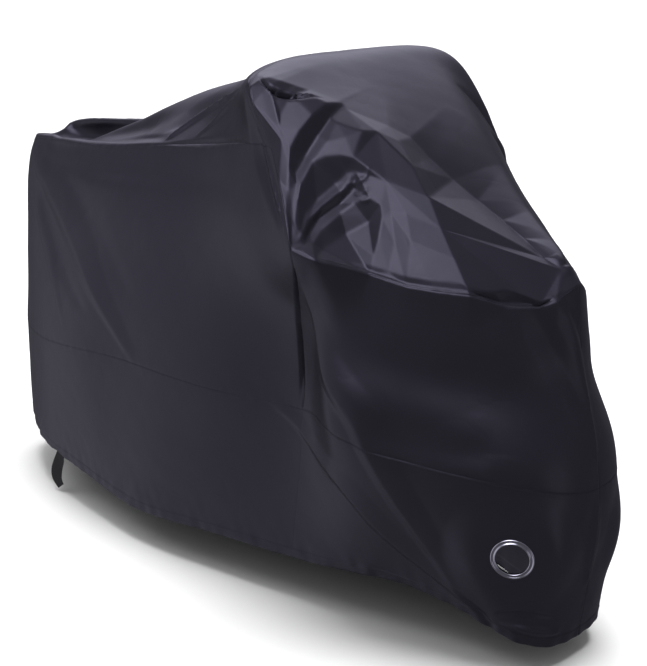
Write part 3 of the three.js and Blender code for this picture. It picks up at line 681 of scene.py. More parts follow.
def seam_relief(node, points, distances, settings):
    """Lift at the panel's edges: laps, lips, the folded hem and the puckers of the sewing."""
    lift = np.zeros(len(points))
    dip = np.zeros(len(points))
    closeness = np.zeros(len(points))
    for kind, away in zip(PANELS[node][4], distances):
        if kind == "over":
            lift += settings.lip_height / MM * bell(away, LIP_REACH)
            lift -= settings.roll_depth / MM * bell(away, ROLL_REACH)
            closeness = np.maximum(closeness, np.exp(-np.abs(away) / SEAM_REACH))
        elif kind == "under":
            dip = np.maximum(dip, settings.lap_depth / MM * smooth((LAP_START - away) / LAP_RUN))
            closeness = np.maximum(closeness, np.exp(-np.abs(away) / SEAM_REACH))
        elif kind == "inset":
            dip = np.maximum(dip, INSET_DEPTH * smooth((INSET_START - away) / INSET_RUN))
        elif kind == "hem":
            lift += settings.hem_step / MM * smooth((HEM_STEP_START - away) / HEM_STEP_RUN)
            lift -= HEM_ROLL * bell(away, HEM_ROLL_REACH)
            gather = swell(points, GATHER_WAVES, settings.gather_height / MM, SEEDS["gather"])
            lift += gather * np.exp(-away / GATHER_REACH)
            closeness = np.maximum(closeness, bell(away - HEM_WIDTH, HEM_SEAM_REACH))
    pucker = swell(points, PUCKER_WAVES, settings.pucker_height / MM, SEEDS["pucker"])
    return lift - dip + pucker * closeness, closeness


def draped(node, sections, rails, settings):
    """A panel's outer face at lists of sections and rails: points, base normals and nearness to a seam."""
    points, normals, along, across = base_surface(sections, rails)
    along = np.maximum(along, SLOWEST)
    across = np.maximum(across, SLOWEST)
    lift = fold_lift(points, normals)
    lift += swell(points, BROAD_WAVES, settings.swell_height / MM, SEEDS["broad"])
    lift += swell(points, FINE_WAVES, FINE_SHARE * settings.swell_height / MM, SEEDS["fine"])
    distances = edge_distances(node, sections, rails, along, across)
    relief, closeness = seam_relief(node, points, distances, settings)
    points = pull_flat(sections, rails, points, along, across)
    points = flatten_at_eyelets(points + lift[:, None] * normals)
    return points + relief[:, None] * normals, normals, closeness


def spans(low, high, other_low, other_high, along_sections):
    """Mean length in millimetres of each whole step from low to high, over the other direction."""
    middles = np.arange(low, high) + 0.5
    others = np.linspace(other_low, other_high, SPAN_SAMPLES)
    grid_a, grid_b = (axis.ravel() for axis in np.meshgrid(middles, others, indexing="ij"))
    if along_sections:
        lengths = base_surface(grid_a, grid_b)[2]
    else:
        lengths = base_surface(grid_b, grid_a)[3]
    return lengths.reshape(len(middles), len(others)).mean(1)


def edge_rows(low, high, kinds, steps):
    """Parameter lines from one edge to the other: [place, offset from low, offset from high] rows.

    steps holds the number of lines for each whole step between the edges. The offsets are in
    millimetres, so the lines beside an edge keep the same distance from it all along.
    """
    low_lines = EDGE_LINES[kinds[0]]
    high_lines = EDGE_LINES[kinds[1]]
    low_margin = low_lines[-1] + EDGE_MARGIN if low_lines else 0
    high_margin = high_lines[-1] + EDGE_MARGIN if high_lines else 0
    places = [float(low)]
    for start, count in enumerate(steps):
        places += [low + start + k / count for k in range(1, count + 1)]
    rows = [(low, away, 0) for away in low_lines]
    for place in places:
        share = (place - low) / (high - low)
        rows.append((place, low_margin * (1 - share), -high_margin * share))
    rows += [(high, 0, -away) for away in reversed(high_lines)]
    return np.array(rows, float)


def rail_rows_round(low, kinds, steps, thin):
    """Rail lines of a panel that runs over the crest, the same on both sides, and each line's mirror.

    With thin, every second line is left out on the far side.
    """
    half = edge_rows(low, CREST, (kinds[0], "round"), steps)
    crest = len(half) - 1
    edge_count = len(EDGE_LINES[kinds[0]])
    rows = [list(row) for row in half]
    mirror = list(range(len(half)))
    for index in range(crest - 1, -1, -1):
        if thin and index > edge_count and (crest - index) % 2:
            continue
        place, offset, _ = half[index]
        rows.append([LAST_RAIL - place, 0, -offset])
        mirror.append(index)
    # The near half was laid out to the crest alone, with no offset from the far edge.
    return np.array(rows, float), mirror


def panel_lines(node):
    """Section lines, rail lines and, for each rail line, the line that it meets when welded."""
    section_range, rail_range, pitch, far_pitch, edges = PANELS[node]
    coarser = 1
    along = spans(*section_range, *rail_range, True)
    section_steps = [max(FEWEST_STEPS, math.ceil(length / pitch / coarser)) for length in along]
    section_lines = edge_rows(*section_range, edges[:2], section_steps)
    if "round" in edges:
        across = spans(rail_range[0], CREST, *section_range, False)
        steps = [2 * max(2, math.ceil(length / pitch / coarser / 2)) for length in across]
        rail_lines, mirror = rail_rows_round(rail_range[0], edges[2:], steps, far_pitch > pitch)
    else:
        across = spans(*rail_range, *section_range, False)
        steps = [max(FEWEST_STEPS, math.ceil(length / pitch / coarser)) for length in across]
        rail_lines = edge_rows(*rail_range, edges[2:], steps)
        mirror = None
    return section_lines, rail_lines, mirror


def panel_places(node, section_lines, rail_lines):
    """Section and rail of every grid point, with the lines beside an edge at their own distances."""
    (first, last), (low, high) = PANELS[node][:2]
    places_s, places_r = section_lines[:, 0], rail_lines[:, 0]
    count_s, count_r = len(places_s), len(places_r)
    ends = [base_surface(np.full(count_r, end), places_r)[2] for end in (first, last)]
    sides = [base_surface(places_s, np.full(count_s, side))[3] for side in (low, high)]
    ends = np.maximum(ends, SLOWEST)
    sides = np.maximum(sides, SLOWEST)
    sections = places_s[:, None] + section_lines[:, 1:2] / ends[0] + section_lines[:, 2:3] / ends[1]
    rails = places_r + rail_lines[:, 1] / sides[0][:, None] + rail_lines[:, 2] / sides[1][:, None]
    return sections, rails


def welded_numbers(count_s, count_r, mirror, welded_ends):
    """Vertex number of each grid point. Past the crest, a welded end uses the near side's vertices."""
    numbers = np.arange(count_s * count_r).reshape(count_s, count_r)
    if mirror is not None:
        crest = mirror.index(max(mirror))
        for end in welded_ends:
            for line in range(crest + 1, count_r):
                numbers[end, line] = numbers[end, mirror[line]]
    return numbers


def sheet_faces(numbers, mirror, welded_ends):
    """Quads of one face of the sheet. Far quads at a weld take in the near vertices between theirs."""
    count_s, count_r = numbers.shape
    quads = np.stack([numbers[:-1, :-1], numbers[1:, :-1], numbers[1:, 1:], numbers[:-1, 1:]], -1)
    faces = quads.reshape(-1, 4).tolist()
    if mirror is None:
        return faces
    for line in range(mirror.index(max(mirror)), count_r - 1):
        between = list(range(mirror[line] - 1, mirror[line + 1], -1))
        for end in welded_ends:
            extra = numbers[end, between].tolist()
            if end == 0:
                faces[line] += extra[::-1]
            else:
                place = (count_s - 2) * (count_r - 1) + line
                faces[place][2:2] = extra
    return faces


def rim_faces(edges, layer):
    """Walls between the two layers, for edges of the outer face in that face's own direction."""
    return [[b, a, a + layer, b + layer] for a, b in edges]


def border_edges(numbers, edges):
    """Edges round a panel in the direction of its faces, without the ends that are welded."""
    tail, nose, lower, upper = numbers[0], numbers[-1], numbers[:, 0], numbers[:, -1]
    found = list(zip(lower[:-1], lower[1:])) + list(zip(upper[1:], upper[:-1]))
    if edges[0] != "round":
        found += list(zip(tail[1:], tail[:-1]))
    if edges[1] != "round":
        found += list(zip(nose[:-1], nose[1:]))
    return found


def punch_hole(faces, outer, normals):
    """Leaves out the faces over an eyelet's hole and draws the border in to a circle."""
    borders = []
    for centre, axis in SEATS.values():
        offset = outer - centre
        height = offset @ axis
        radial = offset - height[:, None] * axis
        radius = np.linalg.norm(radial, axis=1)
        inside = (radius < CLOTH_HOLE) & (np.abs(height) < HOLE_DEPTH)
        if not inside.any():
            continue
        kept = [face for face in faces if not inside[face].any()]
        gone = [face for face in faces if inside[face].any()]
        sides = {(a, b) for face in kept for a, b in zip(face, face[1:] + face[:1])}
        lost = {(b, a) for face in gone for a, b in zip(face, face[1:] + face[:1])}
        border = sorted(sides & lost)
        ring = sorted({a for edge in border for a in edge})
        outer[ring] += unit(radial[ring]) * (CLOTH_HOLE - radius[ring])[:, None]
        normals[ring] = axis
        faces = kept
        borders += border
    return faces, borders


def link_piece(name, mesh):
    piece = bpy.data.objects.new(name, mesh)
    bpy.context.scene.collection.objects.link(piece)
    return piece


def new_piece(node, ending, points, faces, sharp, material, uv=None):
    """A smooth piece named after its node, from points in millimetres and UV coordinates in metres."""
    mesh = bpy.data.meshes.new(node)
    mesh.from_pydata((points * MM).tolist(), [], faces)
    mesh.polygons.foreach_set("use_smooth", np.ones(len(mesh.polygons), bool))
    mesh.set_sharp_from_angle(angle=math.radians(sharp))
    if uv is not None:
        corners = np.empty(len(mesh.loops), int)
        mesh.loops.foreach_get("vertex_index", corners)
        mesh.uv_layers.new(name="UVMap").data.foreach_set("uv", uv[corners].ravel())
    mesh.materials.append(material)
    return link_piece(node + ending, mesh)


def summed(steps):
    """Running total of a list of steps, from 0 on."""
    return np.concatenate([[0], np.cumsum(steps)])


def panel_uv(node, sections, rails):
    """UV coordinates in metres along a panel's sections and rails."""
    section_range, rail_range = PANELS[node][:2]
    reach_s = summed(spans(*section_range, *rail_range, True)) * MM
    reach_r = summed(spans(*rail_range, *section_range, False)) * MM
    return np.stack([
        np.interp(sections.ravel(), np.arange(section_range[0], section_range[1] + 1), reach_s),
        np.interp(rails.ravel(), np.arange(rail_range[0], rail_range[1] + 1), reach_r),
    ], 1)


def numbered_anew(faces):
    """Faces without repeated corners, numbered by the list of the vertices in use, and that list."""
    whole = [list(dict.fromkeys(int(number) for number in face)) for face in faces]
    used = sorted({number for face in whole for number in face})
    position = {number: place for place, number in enumerate(used)}
    return [[position[number] for number in face] for face in whole], used


def cloth_panel(node, settings):
    """One panel as a closed sheet of two layers, with its seams, hem and eyelet hole."""
    edges = PANELS[node][4]
    section_lines, rail_lines, mirror = panel_lines(node)
    sections, rails = panel_places(node, section_lines, rail_lines)
    count_s, count_r = sections.shape
    outer, normals, closeness = draped(node, sections.ravel(), rails.ravel(), settings)
    welded_ends = [end for end, kind in ((0, edges[0]), (-1, edges[1])) if kind == "round"]
    numbers = welded_numbers(count_s, count_r, mirror, welded_ends)
    faces = sheet_faces(numbers, mirror, welded_ends)
    faces, hole = punch_hole(faces, outer, normals)
    inner = outer - settings.thickness / MM * normals
    layer = len(outer)
    walls = rim_faces(border_edges(numbers, edges) + hole, layer)
    inner_faces = [[number + layer for number in reversed(face)] for face in faces]
    faces, used = numbered_anew(faces + inner_faces + walls)
    uv = np.tile(panel_uv(node, sections, rails), (2, 1))
    piece = new_piece(
        node, "_cloth", np.concatenate([outer, inner])[used], faces, CLOTH_SHARP,
        shared_material("coated_cloth", cloth_material), uv[used],
    )
    # The nearness to a seam also sets how much painted shade the cloth material puts along the seams.
    seam = piece.data.attributes.new("seam", "FLOAT", "POINT")
    seam.data.foreach_set("value", np.tile(closeness, 2)[used])
    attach(piece, "root")
    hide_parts(node)
    return piece


def lathe_faces(turns, profile_count):
    """Quads of a closed ring: turns round, profile_count round its section."""
    numbers = np.arange(turns * profile_count).reshape(turns, profile_count)
    ahead = np.roll(numbers, -1, 0)
    up = np.roll(numbers, -1, 1)
    return np.stack([numbers, ahead, np.roll(ahead, -1, 1), up], -1).reshape(-1, 4).tolist()


def eyelet_ring(node, settings):
    """A rolled metal ring with a fine groove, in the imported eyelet's place."""
    centre, axis = SEATS[node]
    level = unit(np.cross((0, 0, 1), axis))
    upward = np.cross(axis, level)
    turns = settings.segments
    angle = np.arange(turns) * 2 * math.pi / turns
    spokes = np.cos(angle)[:, None] * level + np.sin(angle)[:, None] * upward
    profile = np.array(RING_SECTION, float)
    points = centre + spokes[:, None] * profile[:, :1] + axis * profile[:, 1:]
    piece = new_piece(
        node, "_ring", points.reshape(-1, 3), lathe_faces(turns, len(profile)), METAL_SHARP,
        shared_material("polished_metal", metal_material),
    )
    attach(piece, "root")
    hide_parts(node)
    return piece


def strap_run(half_thickness):
    """The strap's middle line, its turns in radians, and the directions forward and outward at the hem."""
    places = np.array([(STRAP_SECTION, HEM), (STRAP_SECTION, STRAP_RAIL_STEP)])
    (leave, above), normals, _, _ = base_surface(places[:, 0], places[:, 1])
    out = normals[1]
    forward = unit(np.cross((0, 0, 1), out))
    upward = unit(above - leave)
    inset = SOLID_CLOTH + STRAP_CLEARANCE + half_thickness
    path = [leave + upward * up - out * inset for up in (STRAP_OVERLAP, STRAP_OVERLAP / 2)]
    turned = [0.0, 0.0]
    for ahead, away, down, degrees in STRAP_DROP:
        path.append(leave + out * (away - inset) + forward * ahead - np.array((0, 0, down)))
        turned.append(math.radians(degrees))
    count = len(path)
    rows = spline_rows(count, 0, np.linspace(0, count - 1, STRAP_STEPS * (count - 1) + 1))
    return rows @ np.array(path), rows @ np.array(turned), forward, out


def strap_outline(half, rounding):
    """Once round the strap's section: millimetres across and share of half its thickness."""
    turns = np.radians(np.linspace(-90, 90, STRAP_CORNER_STEPS))
    corner = [(half - rounding + rounding * math.cos(turn), math.sin(turn)) for turn in turns]
    other = [(-across, up) for across, up in reversed(corner)]
    flat = np.linspace(half - rounding, rounding - half, STRAP_FLAT_STEPS)[1:-1]
    return np.array(corner + [(a, 1.0) for a in flat] + other + [(-a, -1.0) for a in flat])


def hem_strap(settings):
    """A flat webbing strap that hangs from the inside of the rear hem."""
    half = settings.width / MM / 2
    rounding = settings.thickness / MM / 2
    centres, turns, forward, out = strap_run(rounding)
    runs = unit(np.gradient(centres, axis=0))
    sides = np.cos(turns)[:, None] * forward - np.sin(turns)[:, None] * out
    sides = unit(sides - np.einsum("ij,ij->i", sides, runs)[:, None] * runs)
    faces_out = unit(np.cross(runs, sides))
    section = strap_outline(half, rounding)
    curl = STRAP_CURL * np.sin(np.linspace(0, STRAP_CURL_TURN, len(centres)))[:, None]
    wave = curl * (section[:, 0] / half) ** 2
    points = (
        centres[:, None] + sides[:, None] * section[:, :1]
        + faces_out[:, None] * (section[:, 1] * rounding + wave)[..., None]
    )
    rings, count = points.shape[:2]
    numbers = np.arange(rings * count).reshape(rings, count)
    after = np.roll(numbers, -1, 1)
    quads = np.stack([numbers[:-1], after[:-1], after[1:], numbers[1:]], -1).reshape(-1, 4).tolist()
    quads.append(numbers[0][::-1].tolist())
    quads.append(numbers[-1].tolist())
    length = summed(np.linalg.norm(np.diff(centres, axis=0), axis=1))
    uv = np.stack([np.tile(section[:, 0], rings), np.repeat(length, count)], 1) * MM
    piece = new_piece(
        "hem_strap", "_webbing", points.reshape(-1, 3), quads, WEBBING_SHARP,
        shared_material("webbing", webbing_material), uv,
    )
    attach(piece, "root")
    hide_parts("hem_strap")
    return piece


def stitch_row(node, edge, inset, settings):
    """Points and outward directions along one seam, inset from the panel's edge."""
    (first, last), (low, high) = PANELS[node][:2]
    side = EDGES.index(edge)
    ends = (first, last, low, high)
    run_low, run_high = (low, high) if side < 2 else (first, last)
    steps = int(STITCH_STEPS * (run_high - run_low))
    runs = np.linspace(run_low + STITCH_END, run_high - STITCH_END, steps)
    fixed = np.full(steps, float(ends[side]))
    inward = 1 if side in (0, 2) else -1
    if side < 2:
        speed = np.maximum(base_surface(fixed, runs)[2], SLOWEST)
        sections, rails = fixed + inward * inset / speed, runs
    else:
        speed = np.maximum(base_surface(runs, fixed)[3], SLOWEST)
        sections, rails = runs, fixed + inward * inset / speed
    points, normals, _ = draped(node, sections, rails, settings)
    return points + STITCH_LIFT * normals, normals


def feed(tree, node, inputs):
    """Gives each named input of a node its value, or links it to the socket that is given for it."""
    for name, value in inputs.items():
        if isinstance(value, bpy.types.NodeSocket):
            tree.links.new(value, node.inputs[name])
        else:
            node.inputs[name].default_value = value


def add_node(tree, kind, inputs=None, **options):
    """A new node with its options and inputs."""
    node = tree.nodes.new(kind)
    for name, value in options.items():
        setattr(node, name, value)
    feed(tree, node, inputs or {})
    return node


def math_node(tree, operation, *values):
    """The result of a math node on sockets or numbers."""
    return add_node(tree, "ShaderNodeMath", dict(enumerate(values)), operation=operation).outputs[0]


def new_group(name, inputs, outputs, kind="ShaderNodeTree"):
    """A node group, what it is given and its result. Sockets: [name, kind, default] and [name, kind]."""
    group = bpy.data.node_groups.new(name, kind)
    for label, socket_kind, default in inputs:
        socket = group.interface.new_socket(label, in_out="INPUT", socket_type="NodeSocket" + socket_kind)
        if default is not None:
            socket.default_value = default
    for label, socket_kind in outputs:
        group.interface.new_socket(label, in_out="OUTPUT", socket_type="NodeSocket" + socket_kind)
    return group, group.nodes.new("NodeGroupInput").outputs, group.nodes.new("NodeGroupOutput")


def stitch_nodes():
    """Geometry nodes that lay one small thread along every line of the mesh at an even spacing."""
    kinds = {
        "Geometry": "Geometry", "Spacing": "Float", "Length": "Float", "Thickness": "Float",
        "Seed": "Int", "Thread": "Material",
    }
    group, given, result = new_group(
        "stitch_run", [(name, kind, None) for name, kind in kinds.items()],
        (("Geometry", "Geometry"),), "GeometryNodeTree",
    )
    curve = add_node(group, "GeometryNodeMeshToCurve", {"Mesh": given["Geometry"]})
    evenly = add_node(
        group, "GeometryNodeResampleCurve",
        {"Curve": curve.outputs["Curve"], "Length": given["Spacing"]}, mode="LENGTH",
    )
    thread = add_node(group, "GeometryNodeMeshIcoSphere", {"Radius": 0.5, "Subdivisions": 1})
    tangent = add_node(group, "GeometryNodeInputTangent")
    outward = add_node(
        group, "GeometryNodeInputNamedAttribute", {"Name": "outward"}, data_type="FLOAT_VECTOR"
    )
    along = add_node(
        group, "FunctionNodeAlignRotationToVector", {"Vector": tangent.outputs["Tangent"]}, axis="X"
    )
    upright = add_node(
        group, "FunctionNodeAlignRotationToVector",
        {"Rotation": along.outputs["Rotation"], "Vector": outward.outputs["Attribute"]},
        axis="Z", pivot_axis="X",
    )
    uneven = add_node(
        group, "FunctionNodeRandomValue",
        {2: STITCH_UNEVEN[0], 3: STITCH_UNEVEN[1], "Seed": given["Seed"]}, data_type="FLOAT",
    )
    size = add_node(group, "ShaderNodeCombineXYZ", {
        "X": math_node(group, "MULTIPLY", given["Length"], uneven.outputs[1]),
        "Y": given["Thickness"], "Z": given["Thickness"],
    })
    place = add_node(group, "GeometryNodeInstanceOnPoints", {
        "Points": evenly.outputs["Curve"], "Instance": thread.outputs["Mesh"],
        "Rotation": upright.outputs["Rotation"], "Scale": size.outputs["Vector"],
    })
    real = add_node(group, "GeometryNodeRealizeInstances", {"Geometry": place.outputs["Instances"]})
    soft = add_node(group, "GeometryNodeSetShadeSmooth", {"Geometry": real.outputs["Geometry"]})
    finish = add_node(
        group, "GeometryNodeSetMaterial",
        {"Geometry": soft.outputs["Geometry"], "Material": given["Thread"]},
    )
    feed(group, result, {"Geometry": finish.outputs["Geometry"]})
    return group


def stitches(cloth_settings, settings):
    """All stitch rows as one plain mesh of small threads."""
    points, outward, edges = [], [], []
    rows = [(node, edge, inset) for inset, places in STITCH_ROWS.items() for node, edge in places]
    for node, edge, inset in rows:
        row, normals = stitch_row(node, edge, inset, cloth_settings)
        start = len(points)
        points += row.tolist()
        outward += normals.tolist()
        edges += [(start + k, start + k + 1) for k in range(len(row) - 1)]
    lines = bpy.data.meshes.new("stitch_lines")
    lines.from_pydata((np.array(points) * MM).tolist(), edges, [])
    facing = lines.attributes.new("outward", "FLOAT_VECTOR", "POINT")
    facing.data.foreach_set("vector", np.array(outward).ravel())
    source = link_piece("stitch_lines", lines)
    group = stitch_nodes()
    modifier = source.modifiers.new("stitch_run", "NODES")
    modifier.node_group = group
    wanted = {
        "Spacing": settings.spacing,
        "Length": settings.length,
        "Thickness": settings.thickness,
        "Seed": settings.seed,
        "Thread": shared_material("thread", thread_material),
    }
    for item in group.interface.items_tree:
        if item.in_out == "INPUT" and item.name in wanted:
            modifier[item.identifier] = wanted[item.name]
    evaluated = source.evaluated_get(bpy.context.evaluated_depsgraph_get())
    mesh = bpy.data.meshes.new_from_object(evaluated)
    mesh.name = "stitches"
    if not mesh.polygons:
        raise RuntimeError("the stitch rows came out empty")
    bpy.data.objects.remove(source)
    piece = link_piece("seam_stitches", mesh)
    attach(piece, "root")
    return piece


def weave_group(name):
    """Height of a plain weave from UV coordinates in metres."""
    group, given, result = new_group(
        name, (("UV", "Vector", None), ("Threads per metre", "Float", 1400.0)), (("Height", "Float"),)
    )
    scaled = add_node(
        group, "ShaderNodeVectorMath", {0: given["UV"], "Scale": given["Threads per metre"]},
        operation="SCALE",
    )
    split = add_node(group, "ShaderNodeSeparateXYZ", {0: scaled.outputs[0]})
    turns = [math_node(group, "MULTIPLY", split.outputs[axis], math.pi) for axis in "XY"]
    warp, weft = [math_node(group, "SINE", turn) for turn in turns]
    height = math_node(group, "MULTIPLY", warp, weft)
    feed(group, result, {"Height": math_node(group, "MULTIPLY_ADD", height, 0.5, 0.5)})
    return group


def crinkle_group(name):
    """Height of fine soft creases in the coating: ridged noise."""
    group, given, result = new_group(
        name, (("Place", "Vector", None), ("Scale", "Float", 14.0), ("Seed", "Float", 3.0)),
        (("Height", "Float"),)
    )
    noise = add_node(group, "ShaderNodeTexNoise", {
        "Vector": given["Place"], "Scale": given["Scale"], "W": given["Seed"],
        "Detail": 3, "Roughness": 0.45, "Distortion": 0.6,
    }, noise_dimensions="4D")
    away = math_node(group, "SUBTRACT", noise.outputs["Fac"], 0.5)
    ridge = math_node(group, "POWER", math_node(group, "ABSOLUTE", away), 0.7)
    feed(group, result, {"Height": ridge})
    return group


def dust_group(name):
    """Mask of the dust that settles on cloth that faces up, broken up by noise."""
    group, given, result = new_group(
        name, (("Place", "Vector", None), ("Amount", "Float", 0.05)), (("Mask", "Float"),)
    )
    facing = add_node(group, "ShaderNodeNewGeometry")
    split = add_node(group, "ShaderNodeSeparateXYZ", {0: facing.outputs["Normal"]})
    noise = add_node(group, "ShaderNodeTexNoise", {"Vector": given["Place"], "Scale": 9, "Detail": 4})
    upward = math_node(group, "MAXIMUM", split.outputs["Z"], 0)
    spotted = math_node(group, "MULTIPLY", upward, noise.outputs["Fac"])
    feed(group, result, {"Mask": math_node(group, "MULTIPLY", spotted, given["Amount"])})
    return group


def use_group(tree, name, build, inputs):
    group = bpy.data.node_groups.get(name) or build(name)
    return add_node(tree, "ShaderNodeGroup", inputs, node_tree=group)


def shared_material(name, build):
    return bpy.data.materials.get(name) or build(name)


def new_material(name):
    """A new material with its node tree and its Principled node."""
    made = bpy.data.materials.new(name)
    made.use_nodes = True
    return made, made.node_tree, made.node_tree.nodes["Principled BSDF"]


def bump_node(tree, strength, depth, height, normal=None):
    bump = add_node(tree, "ShaderNodeBump", {"Strength": strength, "Distance": depth, "Height": height})
    if normal is not None:
        feed(tree, bump, {"Normal": normal})
    return bump.outputs["Normal"]


def cloth_material(name):
    """Near-black polyester with a satin coating: a faint weave, fine creases, a little dust, and painted
    shade darkening the cloth along the seams.
    """
    made, tree, shader = new_material(name)
    where = tree.nodes.new("ShaderNodeTexCoord").outputs
    weave = use_group(tree, "plain_weave", weave_group, {"UV": where["UV"]})
    broad, fine = [
        use_group(tree, "soft_crinkle", crinkle_group, {"Place": where["Object"], "Scale": scale})
        for scale in (BROAD_CREASES, FINE_CREASES)
    ]
    dust = use_group(tree, "settled_dust", dust_group, {"Place": where["Object"]})
    seam = add_node(tree, "ShaderNodeAttribute", attribute_name="seam")
    tone = add_node(
        tree, "ShaderNodeMix",
        {"Factor": dust.outputs["Mask"], "A": CLOTH_TONE, "B": CLOTH_DUST_TONE}, data_type="RGBA",
    )
    # Painted shade: the cloth is darkened near the seams, where the seam grooves would be in shadow.
    seam_shade_share = math_node(tree, "MULTIPLY", seam.outputs["Fac"], CLOTH_SEAM_SHADE_SHARE)
    shade = add_node(
        tree, "ShaderNodeMix",
        {"Factor": seam_shade_share, "A": tone.outputs["Result"], "B": CLOTH_SEAM_SHADE_TONE}, data_type="RGBA",
    )
    normal = None
    for (strength, depth), relief in zip(CLOTH_RELIEF, (broad, fine, weave)):
        normal = bump_node(tree, strength, depth, relief.outputs["Height"], normal)
    feed(tree, shader, {
        "Base Color": shade.outputs["Result"], "Normal": normal, "Roughness": CLOTH_ROUGHNESS,
        "Specular IOR Level": CLOTH_SPECULAR, "Specular Tint": CLOTH_SHEEN_TINT,
    })
    return made


def metal_material(name):
    """Polished nickel with faint hairline marks."""
    made, tree, shader = new_material(name)
    place = tree.nodes.new("ShaderNodeTexCoord").outputs["Object"]
    marks = use_group(tree, "soft_crinkle", crinkle_group, {"Place": place, "Scale": METAL_MARKS})
    rough = math_node(tree, "MULTIPLY_ADD", marks.outputs["Height"], METAL_UNEVEN, METAL_ROUGHNESS)
    feed(tree, shader, {"Base Color": METAL_TONE, "Metallic": 1.0, "Roughness": rough})
    return made


def webbing_material(name):
    """Black ribbed webbing."""
    made, tree, shader = new_material(name)
    place = tree.nodes.new("ShaderNodeTexCoord").outputs["UV"]
    weave = use_group(
        tree, "plain_weave", weave_group, {"UV": place, "Threads per metre": WEBBING_THREADS}
    )
    feed(tree, shader, {
        "Base Color": WEBBING_TONE, "Roughness": WEBBING_ROUGHNESS,
        "Specular IOR Level": WEBBING_SPECULAR,
        "Normal": bump_node(tree, *WEBBING_RELIEF, weave.outputs["Height"]),
    })
    return made


def thread_material(name):
    """Black polyester sewing thread."""
    made, tree, shader = new_material(name)
    feed(tree, shader, {"Base Color": THREAD_TONE, "Roughness": THREAD_ROUGHNESS})
    return made


# Tones and finish of the materials.
CLOTH_TONE = (0.0112, 0.0104, 0.0158, 1)
CLOTH_DUST_TONE = (0.09, 0.088, 0.09, 1)
# Painted shade: the darker tone that the cloth takes along its seams.
CLOTH_SEAM_SHADE_TONE = (0.006, 0.0056, 0.0075, 1)
CLOTH_SHEEN_TINT = (0.9, 0.88, 1.0, 1)
CLOTH_ROUGHNESS = 0.33
CLOTH_SPECULAR = 0.42
# How much painted shade darkens the cloth along the seams, and the creases' sizes: repeats in a metre.
CLOTH_SEAM_SHADE_SHARE = 0.1
BROAD_CREASES = 7.0
FINE_CREASES = 26.0
# Relief of the cloth's broad creases, fine creases and weave, and of the webbing: [strength, metres].
CLOTH_RELIEF = ((0.25, 0.004), (0.2, 0.0008), (0.12, 0.0001))
WEBBING_RELIEF = (0.6, 0.0006)
METAL_TONE = (0.6, 0.6, 0.62, 1)
METAL_MARKS = 300.0
METAL_ROUGHNESS = 0.07
METAL_UNEVEN = 0.12
WEBBING_TONE = (0.0045, 0.0045, 0.005, 1)
WEBBING_THREADS = 520.0
WEBBING_ROUGHNESS = 0.7
WEBBING_SPECULAR = 0.14
THREAD_TONE = (0.014, 0.014, 0.017, 1)
THREAD_ROUGHNESS = 0.5

# Studio: a lamp overhead and one on the left light the floor. The cloth mirrors softer lights.
FLOOR_REACH = 400.0
FLOOR_ROUGHNESS = 0.9
FLOOR_TONE = (0.92, 0.92, 0.92, 1)
# Each lamp: direction it shines from, degrees across and strength.
LAMPS = (("left", (-0.5, -0.2, 0.84), 50, 0.9), ("overhead", (0, 0.1, 0.99), 32, 3.5))
# What the cloth mirrors. Each soft light: direction, degrees to its full part and to its edge, strength
# and the height in degrees from which it rises to its full strength, over the degrees of the soft cut.
SOFT_LIGHTS = (
    ("left of the camera", (0.07, -0.76, 0.64), 6, 35, 3.0, 12),
    ("core of that light", (0.07, -0.76, 0.64), 2, 18, 2.6, 12),
    ("behind the cover", (-0.52, 0.44, 0.73), 5, 42, 1.5, -90),
    ("low behind the tail", (-0.74, -0.03, 0.67), 4, 14, 0.8, -90),
    ("overhead", (0, 0, 1), 10, 75, 0.17, -90),
    ("pale floor on the left", (-0.67, -0.7, -0.25), 12, 54, 0.5, -90),
    ("low in front", (0.98, -0.12, -0.14), 5, 20, 0.4, -90),
)
SOFT_CUT = 18.0
MIRRORED_TINT = (0.84, 0.82, 1.0, 1)


def soft_ramp(tree, value, low, high, strength):
    """A smooth step of a socket's value, from 0 at low to the strength at high."""
    inputs = {"Value": value, "From Min": low, "From Max": high, "To Max": strength}
    return add_node(tree, "ShaderNodeMapRange", inputs, interpolation_type="SMOOTHSTEP").outputs["Result"]


def white_light(tree, strength):
    return add_node(tree, "ShaderNodeBackground", {"Color": (1, 1, 1, 1), "Strength": strength}).outputs[0]


def either(tree, choice, first, second):
    """The first shader where the choice is 0 and the second where it is 1."""
    return add_node(tree, "ShaderNodeMixShader", {0: choice, 1: first, 2: second}).outputs[0]


def studio_world(settings):
    """Even light for the floor, with a softer, directed one for what the cloth mirrors."""
    world = bpy.data.worlds.new("studio")
    world.use_nodes = True
    tree = world.node_tree
    ray = tree.nodes.new("ShaderNodeLightPath").outputs
    where = tree.nodes.new("ShaderNodeTexCoord").outputs["Generated"]
    height = add_node(tree, "ShaderNodeSeparateXYZ", {0: where}).outputs["Z"]
    total = math_node(tree, "ADD", settings.dim, 0.0)
    for name, direction, full, edge, strength, lowest in SOFT_LIGHTS:
        toward = add_node(
            tree, "ShaderNodeVectorMath", {0: where, 1: unit(np.array(direction, float))},
            operation="DOT_PRODUCT", label=name,
        )
        outer, inner = (math.cos(math.radians(degrees)) for degrees in (edge, full))
        low, high = (math.sin(math.radians(degrees)) for degrees in (lowest, lowest + SOFT_CUT))
        light = soft_ramp(tree, toward.outputs["Value"], outer, inner, strength * settings.bright)
        cut = soft_ramp(tree, height, low, high, 1.0)
        total = math_node(tree, "ADD", total, math_node(tree, "MULTIPLY", light, cut))
    mirrored = tree.nodes["Background"]
    feed(tree, mirrored, {"Color": MIRRORED_TINT, "Strength": total})
    even = white_light(tree, settings.fill)
    light = either(tree, ray["Is Glossy Ray"], even, mirrored.outputs[0])
    seen = either(tree, ray["Is Camera Ray"], light, white_light(tree, 1.0))
    feed(tree, tree.nodes["World Output"], {0: seen})
    return world


